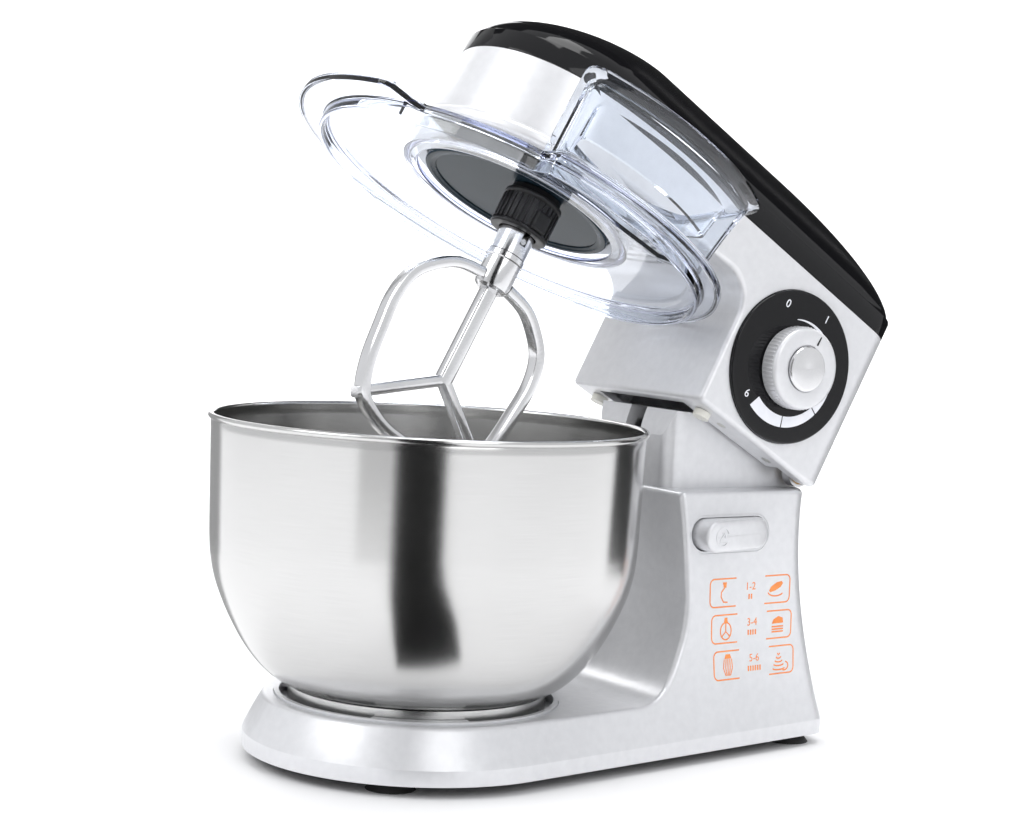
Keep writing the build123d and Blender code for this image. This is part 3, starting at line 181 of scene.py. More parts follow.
def makeClearPlastic():
    # clear sheet, faint mould ripple, blue-violet where the light runs along it
    material, nodes, links, shader = newMaterial("clearPolycarbonate")
    shader.inputs["Base Color"].default_value = (0.94, 0.97, 1.0, 1)
    shader.inputs["Roughness"].default_value = 0.02
    shader.inputs["IOR"].default_value = 1.45
    shader.inputs["Transmission Weight"].default_value = 1.0
    ripple = addNoise(nodes, links, 9, 1.0)
    links.new(addRange(nodes, links, ripple, 0.01, 0.03), shader.inputs["Roughness"])
    absorb = nodes.new("ShaderNodeVolumeAbsorption")
    absorb.inputs["Color"].default_value = (0.52, 0.6, 1.0, 1)
    absorb.inputs["Density"].default_value = 22.0
    links.new(absorb.outputs["Volume"], nodes["Material Output"].inputs["Volume"])
    return material


brushedBowlSteel = makeBrushedSteel()
clearPolycarbonate = makeClearPlastic()

slotFinish = {
    "silver_plastic": silverLacquer, "black_gloss": pianoBlack, "black_plastic": mattBlack,
    "clear_plastic": clearPolycarbonate, "stainless": brushedBowlSteel, "cast_aluminium": castAluminium,
    "steel": groundSteel, "zinc_screw": zincScrew, "feet_rubber": footRubber, "gear_nylon": gearNylon,
    "bronze": sinteredBronze, "lamination": coreSheets, "copper": copperWire, "belt_rubber": beltRubber,
    "carbon": graphite, "board_green": boardGreen,
}
for part in frame["record"]["subparts"]:
    nodeObject = frame["nodes"][part["node"]]
    nodeObject.data.materials.clear()
    nodeObject.data.materials.append(slotFinish[part["material_slot"]])
frame["nodes"]["bowl_foot"].data.materials[0] = groundSteel
frame["nodes"]["planet_carrier"].data.materials[0] = blackDiscPaintedTealSheen
print("materials made:", len(bpy.data.materials))


# mesh helpers
def makePiece(name, points, faces, finish, body, slotName, raised=False, sharp=32.0, replaced=()):
    mesh = bpy.data.meshes.new(name)
    mesh.from_pydata([tuple(float(c) * mm for c in p) for p in points], [], [tuple(f) for f in faces])
    return settlePiece(name, mesh, finish, body, raised, sharp, replaced)


def settlePiece(name, mesh, finish, body, raised=False, sharp=32.0, replaced=()):
    # weld, face outwards, swing up with the head, then hang it on its body and hide the CAD parts it replaces
    work = bmesh.new()
    work.from_mesh(mesh)
    bmesh.ops.remove_doubles(work, verts=work.verts, dist=0.002 * mm)
    bmesh.ops.recalc_face_normals(work, faces=work.faces)
    work.to_mesh(mesh)
    work.free()
    if raised:
        mesh.transform(raiseHead)
    mesh.polygons.foreach_set("use_smooth", [True] * len(mesh.polygons))
    mesh.set_sharp_from_angle(angle=math.radians(sharp))
    mesh.materials.clear()
    mesh.materials.append(finish)
    piece = bpy.data.objects.new(name, mesh)
    bpy.context.scene.collection.objects.link(piece)
    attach(piece, body)
    if replaced:
        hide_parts(*replaced)
    return piece


def joinShells(shells):
    # several closed shells in one mesh
    points, faces = [], []
    for shellPoints, shellFaces in shells:
        start = len(points)
        points.extend(shellPoints)
        faces.extend([[index + start for index in face] for face in shellFaces])
    return points, faces


def skinRings(rings, capStart=True, capEnd=True, loop=False):
    # quads between rings of equal count
    count = len(rings[0])
    points = [p for ring in rings for p in ring]
    faces = []
    pairs = len(rings) if loop else len(rings) - 1
    for level in range(pairs):
        here = level * count
        there = ((level + 1) % len(rings)) * count
        for k in range(count):
            nextK = (k + 1) % count
            faces.append((here + k, here + nextK, there + nextK, there + k))
    if capStart and not loop:
        faces.append(tuple(range(count))[::-1])
    if capEnd and not loop:
        faces.append(tuple(range((len(rings) - 1) * count, len(rings) * count)))
    return points, faces


def turnProfile(profile, centre, steps=96, axis="Z", loop=True):
    # profile of (radius, height) turned about an upright or sideways axis
    rings = []
    for k in range(steps):
        angle = 2 * math.pi * k / steps
        c, s = math.cos(angle), math.sin(angle)
        if axis == "Z":
            rings.append([(centre[0] + r * c, centre[1] + r * s, h) for r, h in profile])
        else:
            rings.append([(h, centre[1] + r * c, centre[2] + r * s) for r, h in profile])
    points = [p for ring in rings for p in ring]
    count = len(profile)
    faces = []
    for k in range(steps):
        here, there = k * count, ((k + 1) % steps) * count
        for j in range(count if loop else count - 1):
            nextJ = (j + 1) % count
            faces.append((here + j, there + j, there + nextJ, here + nextJ))
    return points, faces


def roundCorners(profile, radius, steps=4):
    # closed profile with each corner eased by an arc-like curve
    out = []
    count = len(profile)
    for k in range(count):
        p0, p1, p2 = (np.array(profile[(k + d) % count], float) for d in (-1, 0, 1))
        back, ahead = p0 - p1, p2 - p1
        lengthBack, lengthAhead = np.linalg.norm(back), np.linalg.norm(ahead)
        reach = min(radius, lengthBack * 0.45, lengthAhead * 0.45)
        start = p1 + back / lengthBack * reach
        end = p1 + ahead / lengthAhead * reach
        for j in range(steps + 1):
            t = j / steps
            out.append(tuple((1 - t) ** 2 * start + 2 * t * (1 - t) * p1 + t * t * end))
    return out


def smoothPath(points, steps, closed=False):
    # Catmull-Rom curve through the points
    pts = [np.array(p, float) for p in points]
    count = len(pts)
    out = []
    spans = count if closed else count - 1
    for k in range(spans):
        if closed:
            p0, p1, p2, p3 = (pts[(k + d) % count] for d in (-1, 0, 1, 2))
        else:
            p0, p1, p2, p3 = (pts[min(max(k + d, 0), count - 1)] for d in (-1, 0, 1, 2))
        for j in range(steps):
            t = j / steps
            out.append(0.5 * (2 * p1 + (p2 - p0) * t + (2 * p0 - 5 * p1 + 4 * p2 - p3) * t * t
                              + (3 * p1 - p0 - 3 * p2 + p3) * t ** 3))
    if not closed:
        out.append(pts[-1])
    return out


def boxShell(low, high, bevel=0.0):
    # closed box, its upright edges eased
    (x0, y0, z0), (x1, y1, z1) = low, high
    plan = roundCorners([(x0, y0), (x1, y0), (x1, y1), (x0, y1)], bevel or 0.01, 3)
    levels = [(z0, 0.6), (z0 + bevel * 0.5, 0.0), (z1 - bevel * 0.5, 0.0),
              (z1, 0.6)] if bevel else [(z0, 0), (z1, 0)]
    cx, cy = (x0 + x1) / 2, (y0 + y1) / 2
    rings = []
    for z, inset in levels:
        fx = 1 - 2 * inset * bevel * 0.5 / (x1 - x0)
        fy = 1 - 2 * inset * bevel * 0.5 / (y1 - y0)
        rings.append([(cx + (x - cx) * fx, cy + (y - cy) * fy, z) for x, y in plan])
    return skinRings(rings)


def bareObject(name, points, faces):
    mesh = bpy.data.meshes.new(name)
    mesh.from_pydata([tuple(float(c) * mm for c in p) for p in points], [], [tuple(f) for f in faces])
    work = bmesh.new()
    work.from_mesh(mesh)
    bmesh.ops.remove_doubles(work, verts=work.verts, dist=0.002 * mm)
    bmesh.ops.recalc_face_normals(work, faces=work.faces)
    work.to_mesh(mesh)
    work.free()
    obj = bpy.data.objects.new(name, mesh)
    bpy.context.scene.collection.objects.link(obj)
    return obj


def plainMesh(obj, drop=()):
    # the evaluated result as a mesh of its own; helpers are removed
    depsgraph = bpy.context.evaluated_depsgraph_get()
    mesh = bpy.data.meshes.new_from_object(obj.evaluated_get(depsgraph))
    for old in (obj, *drop):
        bpy.data.objects.remove(old, do_unlink=True)
    return mesh


def cutAway(obj, tools):
    for tool in tools:
        cut = obj.modifiers.new("cut", "BOOLEAN")
        cut.object = tool
        cut.operation = "DIFFERENCE"
        cut.solver = "EXACT"
    return plainMesh(obj, tools)


# geometry nodes: pieces set round a circle
def makeRingTree():
    tree = bpy.data.node_groups.new("piecesRoundCircle", "GeometryNodeTree")
    face = tree.interface
    face.new_socket("Geometry", in_out="OUTPUT", socket_type="NodeSocketGeometry")
    for label, kind in (("Unit", "NodeSocketObject"), ("Count", "NodeSocketInt"),
                        ("Radius", "NodeSocketFloat"),
                        ("Start", "NodeSocketFloat"), ("Step", "NodeSocketFloat"),
                        ("Finish", "NodeSocketMaterial")):
        face.new_socket(label, in_out="INPUT", socket_type=kind)
    nodes, links = tree.nodes, tree.links
    given, result = nodes.new("NodeGroupInput"), nodes.new("NodeGroupOutput")
    points, index = nodes.new("GeometryNodePoints"), nodes.new("GeometryNodeInputIndex")
    links.new(given.outputs["Count"], points.inputs["Count"])

    def math2(operation, a, b=None):
        node = nodes.new("ShaderNodeMath")
        node.operation = operation
        for slotIndex, value in enumerate((a, b)):
            if value is None:
                continue
            links.new(value, node.inputs[slotIndex])
        return node.outputs["Value"]

    angle = math2("ADD", math2("MULTIPLY", index.outputs["Index"], given.outputs["Step"]),
                  given.outputs["Start"])
    place, turn = nodes.new("ShaderNodeCombineXYZ"), nodes.new("ShaderNodeCombineXYZ")
    links.new(math2("MULTIPLY", math2("COSINE", angle), given.outputs["Radius"]), place.inputs["X"])
    links.new(math2("MULTIPLY", math2("SINE", angle), given.outputs["Radius"]), place.inputs["Y"])
    links.new(angle, turn.inputs["Z"])
    links.new(place.outputs["Vector"], points.inputs["Position"])
    return finishTree(tree, given, result, points.outputs["Points"], turn.outputs["Vector"])


def finishTree(tree, given, result, points, turn):
    nodes, links = tree.nodes, tree.links
    unit, place = nodes.new("GeometryNodeObjectInfo"), nodes.new("GeometryNodeInstanceOnPoints")
    solid, dress = nodes.new("GeometryNodeRealizeInstances"), nodes.new("GeometryNodeSetMaterial")
    links.new(given.outputs["Unit"], unit.inputs["Object"])
    links.new(points, place.inputs["Points"])
    links.new(unit.outputs["Geometry"], place.inputs["Instance"])
    links.new(turn, place.inputs["Rotation"])
    links.new(place.outputs["Instances"], solid.inputs["Geometry"])
    links.new(solid.outputs["Geometry"], dress.inputs["Geometry"])
    links.new(given.outputs["Finish"], dress.inputs["Material"])
    links.new(dress.outputs["Geometry"], result.inputs["Geometry"])
    return tree


ringTree = makeRingTree()


def runTree(tree, host, settings, unit):
    # inputs are set by identifier before the first evaluation
    modifier = host.modifiers.new("repeat", "NODES")
    modifier.node_group = tree
    names = {item.name: item.identifier for item in tree.interface.items_tree
             if item.item_type == "SOCKET" and item.in_out == "INPUT"}
    for label, value in settings.items():
        modifier[names[label]] = value
    return plainMesh(host, [unit])


def roundCircle(name, unitShell, count, radius, start, step, placing, finish):
    # placing turns the flat circle into its place
    unit = bareObject(name + "Unit", *unitShell)
    host = bareObject(name + "Host", [(0, 0, 0)], [])
    mesh = runTree(ringTree, host, {"Unit": unit, "Count": count, "Radius": radius * mm, "Start": start,
                                    "Step": step, "Finish": finish}, unit)
    mesh.transform(placing)
    return mesh


# bowl: spun sheet with a rolled rim
def makeBowl():
    size = {"rimRadius": 111.6, "rimHeight": 174.3, "bead": 1.6, "sheet": 1.0,
            "steps": 160}
    wall = [(0.0, 37.0), (30, 37.0), (56, 37.1), (66, 38.6), (75, 42.8), (83, 49.6), (90, 58.2), (96, 68),
            (101.6, 79.3), (106.5, 92), (109, 103.5), (110, 115)]
    outer = [tuple(p) for p in smoothPath(wall, 4)]
    count = 16
    for k in range(1, count + 1):
        t = k / count
        outer.append((110 + (size["rimRadius"] - 110) * t, 115 + (size["rimHeight"] - 2.4 - 115) * t))
    inner = [(max(r - size["sheet"], 0), z + (size["sheet"] if z < 60 else 0.4)) for r, z in outer]
    bead = []
    for k in range(15):
        angle = math.radians(-100 + 290 * k / 14)
        bead.append((size["rimRadius"] - 0.1 + size["bead"] * math.cos(angle),
                     size["rimHeight"] + size["bead"] * math.sin(angle)))
    profile = outer + bead + inner[::-1]
    points, faces = turnProfile(profile, (0, bowlY), size["steps"], loop=False)
    piece = makePiece("bowlShell", points, faces, brushedBowlSteel, "bowl", "stainless",
                      replaced=("bowl",))
    layer = piece.data.uv_layers.new(name="turned")
    for polygon in piece.data.polygons:
        angles = []
        for index in polygon.vertices:
            v = piece.data.vertices[index].co
            angles.append(math.atan2(v.y - bowlY * mm, v.x) / (2 * math.pi))
        for loopIndex, turn in zip(polygon.loop_indices, angles):
            v = piece.data.vertices[piece.data.loops[loopIndex].vertex_index].co
            if turn - min(angles) > 0.5:
                turn -= 1.0
            layer.data[loopIndex].uv = (turn, v.z * 10 - math.hypot(v.x, v.y - bowlY * mm) * 4)


makeBowl()
print("bowl done")


# head cover: an upright band, a crease, then a long low dome
cover = {"radius": 61.0, "half": 56.0, "rear": 148.4, "corner": 16.0, "split": 246.9,
         "fall": math.radians(2.33),
         "band": 11.5, "rise": 38.8, "wall": 3.0, "middle": -20.0}


def headOutline(inset=0.0, scale=1.0):
    # round nose about the drive axis, straight sides, rounded rear corners
    cornerX, cornerY = cover["half"] - cover["corner"], cover["rear"] - cover["corner"]
    noseR, cornerR = cover["radius"] - inset, cover["corner"] - inset
    along = math.atan2(cornerY - bowlY, cornerX)
    normal = along - math.acos((noseR - cornerR) / math.hypot(cornerX, cornerY - bowlY))
    half = []
    for k in range(33):
        angle = -math.pi / 2 + (normal + math.pi / 2) * k / 32
        half.append((noseR * math.cos(angle), bowlY + noseR * math.sin(angle)))
    last = half[-1]
    first = (cornerX + cornerR * math.cos(normal), cornerY + cornerR * math.sin(normal))
    for k in range(1, 12):
        half.append((last[0] + (first[0] - last[0]) * k / 12, last[1] + (first[1] - last[1]) * k / 12))
    for k in range(9):
        angle = normal + (math.pi / 2 - normal) * k / 8
        half.append((cornerX + cornerR * math.cos(angle), cornerY + cornerR * math.sin(angle)))
    for k in range(1, 4):
        half.append((cornerX * (1 - k / 4), cover["rear"] - inset))
    plan = half + [(-x, y) for x, y in half[::-1] if abs(x) > 1e-6 or y > 0]
    middle = cover["middle"]
    return [(x * scale, middle + (y - middle) * scale) for x, y in plan]


def splitHeight(y):
    return cover["split"] - (y - bowlY) * math.tan(cover["fall"])


def coverRing(rise, scale, inset=0.0):
    return [(x, y, splitHeight(y) + rise) for x, y in headOutline(inset, scale)]


def domeScale(u):
    return (1 - 0.10 * u) * max(1 - u ** 1.9, 0.0) ** 0.56


def makeCover():
    band = cover["band"]
    levels = [(0.0, 0.6), (0.5, 0.0), (band - 0.9, 0.0), (band - 0.3, 0.3), (band, 0.9),
              (band + 0.1, 1.5)]
    outer = [coverRing(rise, 1.0, inset) for rise, inset in levels]
    count = 26
    for k in range(count):
        u = (k / count) ** 0.9
        outer.append(coverRing(cover["band"] + 0.3 + cover["rise"] * u, domeScale(u), 1.6))
    top = cover["band"] + cover["rise"]
    outer.append(coverRing(top + 0.1, 0.13, 1.6))
    outer.append(coverRing(top + 0.2, 0.02, 1.6))
    inner = [coverRing(rise, scale, inset) for rise, scale, inset in ((0.0, 1.0, 3.0), (6.0, 1.0, 3.0))]
    for k in range(0, 10):
        u = (k / 10) ** 0.9
        inner.append(coverRing(cover["band"] - 2 + (cover["rise"] - 1) * u, domeScale(u), 4.4))
    inner.append(coverRing(top - 3, 0.02, 4.4))
    points, faces = skinRings(inner[::-1] + outer)
    makePiece("headCoverShell", points, faces, pianoBlack, "head", "black_gloss", True, 28.0,
              ("head_cover",))


makeCover()
print("head cover done")


# splash guard: dished clear disc with a turned-down rim
guard = {"z": 188.6, "sheet": 2.2, "radius": 117.7, "lip": 7.0, "cut": 102.0, "steps": 180}


def guardLimit(angle):
    # the flange is cut back beside the chute
    start, end, ease = math.radians(-66), math.radians(-30), math.radians(5)
    a = (angle + math.pi) % (2 * math.pi) - math.pi
    if a < start - ease or a > end + ease:
        return guard["radius"] + guard["lip"] * max(-math.sin(a), 0.0)
    t = min((a - start + ease) / ease, (end + ease - a) / ease, 1.0)
    t = t * t * (3 - 2 * t)
    full = guard["radius"] + guard["lip"] * max(-math.sin(a), 0.0)
    return full + (guard["cut"] - full) * t


def letLightThrough(piece):
    # clear sheet throws no shadow on what is behind it
    piece.visible_shadow = False
    piece.visible_diffuse = False


def makeGuard():
    z, t = guard["z"], guard["sheet"]
    corners = [(61.6, z + 16), (63.6, z + 16), (63.6, z + 2 * t), (100.6, z + 2 * t), (104, z + t + 0.4),
               (115.6, z + t + 0.2), (116.4, z + t + 1.6), (118, z + t + 1.6), (118, z - 0.8), (109.2, z),
               (109, z - 7), (107, z - 7), (106.8, z), (103, z), (99.6, z + t), (56, z + t),
               (56, z + 2 * t),
               (61.6, z + 2 * t)]
    profile = roundCorners(corners, 1.4, 3)
    count = len(profile)
    points, faces = [], []
    for k in range(guard["steps"]):
        angle = 2 * math.pi * k / guard["steps"]
        limit = guardLimit(angle)
        for r, h in profile:
            reach = r + max(limit - guard["radius"], 0) * min(max((r - 110) / 5, 0), 1)
            if limit < guard["radius"] and reach > 99:
                reach = 99 + (reach - 99) * (limit - 99) / (guard["radius"] - 99)
            points.append((reach * math.cos(angle), bowlY + reach * math.sin(angle), h))
    for k in range(guard["steps"]):
        here, there = k * count, ((k + 1) % guard["steps"]) * count
        for j in range(count):
            nextJ = (j + 1) % count
            faces.append((here + j, there + j, there + nextJ, here + nextJ))
    disc = bareObject("guardDisc", points, faces)
    # opening under the chute
    low, high = [], []
    front, rear = math.radians(-24), math.radians(34)
    edge = [(72, front), (72, rear), (98.5, rear), (98.5, front)]
    plan = []
    for (r0, a0), (r1, a1) in zip(edge, edge[1:] + edge[:1]):
        for k in range(8):
            a = a0 + (a1 - a0) * k / 8
            r = max(r0 + (r1 - r0) * k / 8, 70.5 / math.cos(a))
            plan.append((r * math.cos(a), bowlY + r * math.sin(a)))
    low = [(x, y, z - 12) for x, y in plan]
    high = [(x, y, z + 30) for x, y in plan]
    cutter = bareObject("guardOpening", *skinRings([low, high]))
    mesh = cutAway(disc, [cutter])
    letLightThrough(settlePiece("splashGuardDisc", mesh, clearPolycarbonate, "splash_guard",
                                True,
                                34.0, ("splash_guard",)))


def makeChute():
    size = {"inner": 67.0, "innerX": 66.5, "front": math.radians(-28), "rear": math.radians(38),
            "wall": 2.0,
            "corner": 6.0, "lip": 2.8, "lipDepth": 2.2}
    base = guard["z"] + 2 * guard["sheet"] + 0.1

    def outerReach(z):
        return 108 + (z - 193) * 4 / 21 if z < 214 else 112 + (z - 214) * 6 / 24

    def mouth(r):
        return 204 + (r - size["inner"]) * 0.62

    def place(f, g, t, inset, up=0.0):
        # f across the wall-to-wall depth, g round the sector, t from foot to mouth
        z = base
        angle = size["front"] + inset / 90 + (g + 1) / 2 * (size["rear"] - size["front"] - inset / 45)
        inner = max(size["inner"] + inset, (size["innerX"] + inset) / math.cos(angle))
        for _ in range(6):
            reach = outerReach(z) - inset
            r = inner + f * (reach - inner)
            z = base + t * (mouth(r) - base)
        return (r * math.cos(angle), bowlY + r * math.sin(angle), z + up)

    plan = []
    depth, width = 45.0, 105.0                     # nominal sizes to round the corners by
    for x, y in roundCorners([(0, -width / 2), (depth, -width / 2), (depth, width / 2), (0, width / 2)],
                             size["corner"], 6):
        plan.append((x / depth, 2 * y / width))
    dense = []
    for (f0, g0), (f1, g1) in zip(plan, plan[1:] + plan[:1]):
        cuts = max(1, int(math.hypot((f1 - f0) * depth, (g1 - g0) * width / 2) / 5))
        dense.extend([(f0 + (f1 - f0) * k / cuts, g0 + (g1 - g0) * k / cuts) for k in range(cuts)])

    def ring(t, inset, up=0.0):
        return [place(f, g, t, inset, up) for f, g in dense]

    lip, wall = size["lip"], size["wall"]
    rings = [ring(0, 0), ring(0.25, 0), ring(0.5, 0), ring(0.75, 0), ring(1, 0, -size["lipDepth"] - 0.6),
             ring(1, -lip * 0.7, -size["lipDepth"]), ring(1, -lip, -size["lipDepth"] + 0.5),
             ring(1, -lip, -0.5),
             ring(1, -lip * 0.8, 0), ring(1, wall * 0.7, 0), ring(1, wall, -0.6), ring(0.75, wall),
             ring(0.5, wall),
             ring(0.25, wall), ring(0, wall)]
    shells = [skinRings(rings, loop=True)]
    # inner funnel hung from the mouth
    funnel = [ring(1, 1.6, -4.2), ring(1, 7.6, -4.4), ring(0.75, 7.6), ring(0.45, 7.6), ring(0.45, 9.2),
              ring(0.75, 9.2),
              ring(1, 9.2, -2.6), ring(1, 8.4, -2.2), ring(1, 1.6, -2.2)]
    shells.append(skinRings(funnel, loop=True))
    # two locating ribs on each flank
    for side, angle in ((-1, size["front"] - 0.012), (1, size["rear"] + 0.012)):
        c, s = math.cos(angle), math.sin(angle)
        for r in (84.0, 100.0):
            flat = []
            for dr, dn in ((-1.2, 0), (1.2, 0), (1.2, side * 2.0), (-1.2, side * 2.0)):
                flat.append(((r + dr) * c - dn * s, bowlY + (r + dr) * s + dn * c))
            shells.append(skinRings([[(x, y, base - 0.05) for x, y in flat],
                                     [(x, y, base + 9) for x, y in flat]]))
    points, faces = joinShells(shells)
    letLightThrough(makePiece("feedChuteShell", points, faces, clearPolycarbonate, "splash_guard",
                              "clear_plastic",
                              True, 34.0, ("feed_chute",)))


makeGuard()
makeChute()
print("splash guard and chute done")


# flat beater: one bent strip with a stem and two spokes
def sweepFlat(path, width, depth, xMiddle, closed):
    # rounded bar along a path in an upright plane
    pts = [np.array(p, float) for p in path]
    count = len(pts)
    section = []
    for a in range(16):
        angle = 2 * math.pi * (a + 0.5) / 16
        c, s = math.cos(angle), math.sin(angle)
        section.append((math.copysign(abs(c) ** 0.45, c) * width / 2,
                        math.copysign(abs(s) ** 0.45, s) * depth / 2))
    rings = []
    for k in range(count):
        ahead = pts[(k + 1) % count] if closed or k < count - 1 else pts[k]
        back = pts[(k - 1) % count] if closed or k > 0 else pts[k]
        along = (ahead - back) / np.linalg.norm(ahead - back)
        side = np.array([-along[1], along[0]])
        rings.append([(xMiddle + d, pts[k][0] + side[0] * w, pts[k][1] + side[1] * w) for w,
                      d in section])
    return skinRings(rings, loop=closed)


def makeBeater():
    size = {"bar": 6.0, "depth": 9.0, "half": 50.0, "low": 45.0, "fork": 84.0,
            "tube": 9.6,
            "bore": 5.3, "top": 177.0, "bottom": 137.5, "crossZ": 166.0}
    x, y = planet.x, planet.y
    h, e = size["half"], size["bar"] / 2
    right = [(9, 146 - e), (24, 143 - e), (38 - e * 0.7, 134 - e * 0.7), (47 - e, 122), (h - e, 108),
             (h - e - 1.2, 92), (h - e - 3.6, 74), (41 - e * 0.8, 60), (33 - e * 0.5, 51.5 + e * 0.8),
             (18, 46 + e), (0, size["low"] + e)]
    loop = right + [(-a, b) for a, b in right[-2::-1]]
    rim = smoothPath([(y + a, b) for a, b in loop], 6)
    shells = [sweepFlat(rim, size["bar"], size["depth"], x, False)]
    stem = smoothPath([(y, 145), (y, 120), (y, 100), (y, size["fork"])], 6)
    shells.append(sweepFlat(stem, 8.4, 7.6, x, False))
    for side in (-1, 1):
        spoke = [(y, size["fork"] + 2), (y + side * 20, size["fork"] - 12), (y + side * 42, 56.5)]
        shells.append(sweepFlat(smoothPath(spoke, 8), size["bar"], 7.4, x, False))
    points, faces = joinShells(shells)
    mesh = bpy.data.meshes.new("beaterBars")
    mesh.from_pydata([tuple(float(c) * mm for c in p) for p in points], [], [tuple(f) for f in faces])
    # slotted tube that pushes up over the cross pin
    r, bore = size["tube"], size["bore"]
    profile = [(bore, size["bottom"] + 5), (bore, size["top"] - 1), (bore + 0.8, size["top"]),
               (r - 0.8, size["top"]),
               (r, size["top"] - 0.8), (r, 158), (r + 0.5, 157.4), (r + 0.5, 154.6), (r, 154), (r, 142),
               (r - 0.8, 139), (r - 2.6, size["bottom"]), (0.01, size["bottom"]),
               (0.01, size["bottom"] + 5)]
    tube = bareObject("beaterTube", *turnProfile(profile, (x, y), 72))
    slotBox = bareObject("beaterSlot", *boxShell((x - r - 3, y - 1.9, size["crossZ"] - 2.2),
                                                 (x + r + 3, y + 1.9, size["top"] + 5)))
    tubeMesh = cutAway(tube, [slotBox])
    work = bmesh.new()
    work.from_mesh(mesh)
    work.from_mesh(tubeMesh)
    work.to_mesh(mesh)
    work.free()
    settlePiece("flatBeaterBlade", mesh, polishedAluminium, "beater", True, 35.0,
                ("flat_beater",))


makeBeater()
print("beater done")


# hub under the disc: ribbed black grip with its catch
def makeHub():
    size = {"radius": 15.5, "bore": 10.2, "shaft": 5.05, "low": 170.5, "high": 193.5, "ribs": 28}
    x, y = planet.x, planet.y
    r, low, high = size["radius"] - 0.9, size["low"], size["high"]
    profile = [(size["shaft"], 178.6), (size["shaft"], high), (r - 1.2, high), (r - 1.2, high - 3),
               (r + 0.9, high - 3.4),
               (r + 0.9, high - 5.4), (r, high - 6), (r, low + 2.4), (r + 0.9, low + 2),
               (r + 0.9, low + 0.6),
               (r + 0.4, low), (size["bore"], low), (size["bore"], 178.6)]
    body = turnProfile(roundCorners(profile, 0.5, 2), (x, y), 84)
    catch = boxShell((x + 12, y - 4.5, 172.5), (x + 17.3, y + 4.5, 182.5), 1.6)
    points, faces = joinShells([body, catch])
    makePiece("driveHubGrip", points, faces, mattBlack, "output", "black_plastic", True, 30.0,
              ("drive_hub",))
    rib = boxShell((-0.4 * mm / mm, -0.65, low + 2.6), (0.9, 0.65, high - 6.2), 0.4)
    ribs = roundCircle("hubRibs", rib, size["ribs"], r - 0.1, 0.11, 2 * math.pi / size["ribs"],
                       Matrix.Translation((x * mm, y * mm, 0)), mattBlack)
    settlePiece("driveHubRibs", ribs, mattBlack, "output", True)


makeHub()


def makeDiscRim():
    profile = roundCorners([(46.6, 194.1), (46.6, 193.5), (48.4, 193.2), (49.4, 192.7), (51.8, 192.7),
                            (52.4, 193.4),
                            (52.4, 194.1)], 0.5, 3)
    makePiece("discRim", *turnProfile(profile, (0, bowlY), 128), blackDiscPaintedTealSheen, "carrier", "black_gloss",
              True)
    bead = roundCorners([(60.6, 205.6), (64.6, 205.9), (65.6, 207.6), (65.6, 211.0), (64.4, 212.8),
                         (60.6, 214.2)], 1.6, 5)
    makePiece("drumBead", *turnProfile(bead, (0, bowlY), 128), silverLacquer, "head", "silver_plastic",
              True)


makeDiscRim()
print("hub and disc rim done")


# speed dial: printed sweep and numerals, fluted knob with a spun cap
def dialPoint(radius, clock, x):
    # clock turns clockwise from straight up, as seen from the dial's side
    return (x, dial.y + radius * math.sin(clock), dial.z + radius * math.cos(clock))


def textMesh(words, height, place):
    # digits as a thin closed solid; place lays them on the surface
    curve = bpy.data.curves.new("digits", "FONT")
    curve.body = words
    curve.size = height * mm * 1.4
    curve.extrude = 0.15 * mm
    curve.align_x = "CENTER"
    curve.align_y = "CENTER"
    curve.resolution_u = 4
    holder = bpy.data.objects.new("digits", curve)
    bpy.context.scene.collection.objects.link(holder)
    bpy.context.view_layer.update()
    mesh = plainMesh(holder)
    mesh.transform(place)
    return mesh


def facingSide(x, y, z, turn=0.0):
    # text lies in the upright plane that faces +X
    upright = Matrix(((0, 0, 1, 0), (1, 0, 0, 0), (0, 1, 0, 0), (0, 0, 0, 1)))
    return Matrix.Translation(Vector((x, y, z)) * mm) @ Matrix.Rotation(turn, 4, "X") @ upright


def mergeMeshes(name, meshes):
    work = bmesh.new()
    for mesh in meshes:
        work.from_mesh(mesh)
    merged = bpy.data.meshes.new(name)
    work.to_mesh(merged)
    work.free()
    return merged


def makeDialPrint():
    size = {"start": -24, "end": 206, "gaps": (20, 68, 116, 162), "gap": 1.4, "thin": 0.5, "thick": 7.4,
            "inner": 25.6, "face": 60.0, "proud": 0.14}
    shells = []
    stops = [size["start"], *size["gaps"], size["end"]]
    for first, last in zip(stops, stops[1:]):
        begin = first + (size["gap"] / 2 if first != stops[0] else 0)
        finish = last - (size["gap"] / 2 if last != stops[-1] else 0)
        steps = 14
        rings = []
        for k in range(steps + 1):
            degree = begin + (finish - begin) * k / steps
            share = (degree - size["start"]) / (size["end"] - size["start"])
            inner = size["inner"] + 1.4 * share
            outer = inner + size["thin"] + (size["thick"] - size["thin"]) * share
            clock = math.radians(degree)
            rings.append([dialPoint(inner, clock, size["face"] - 0.2),
                          dialPoint(outer, clock, size["face"] - 0.2),
                          dialPoint(outer, clock, size["face"] + size["proud"]),
                          dialPoint(inner, clock, size["face"] + size["proud"])])
        shells.append(skinRings(rings))
    points, faces = joinShells(shells)
    sweep = bpy.data.meshes.new("dialSweep")
    sweep.from_pydata([tuple(float(c) * mm for c in p) for p in points], [], [tuple(f) for f in faces])
    digits = []
    for words, radius, degree in (("0", 34.5, -37), ("1", 34.5, 13), ("6", 33.5, -143)):
        x, y, z = dialPoint(radius, math.radians(degree), size["face"] + 0.05)
        digits.append(textMesh(words, 4.6, facingSide(x, y, z)))
    settlePiece("dialPrint", mergeMeshes("dialPrint", [sweep, *digits]), whiteInk, "head",
                True)


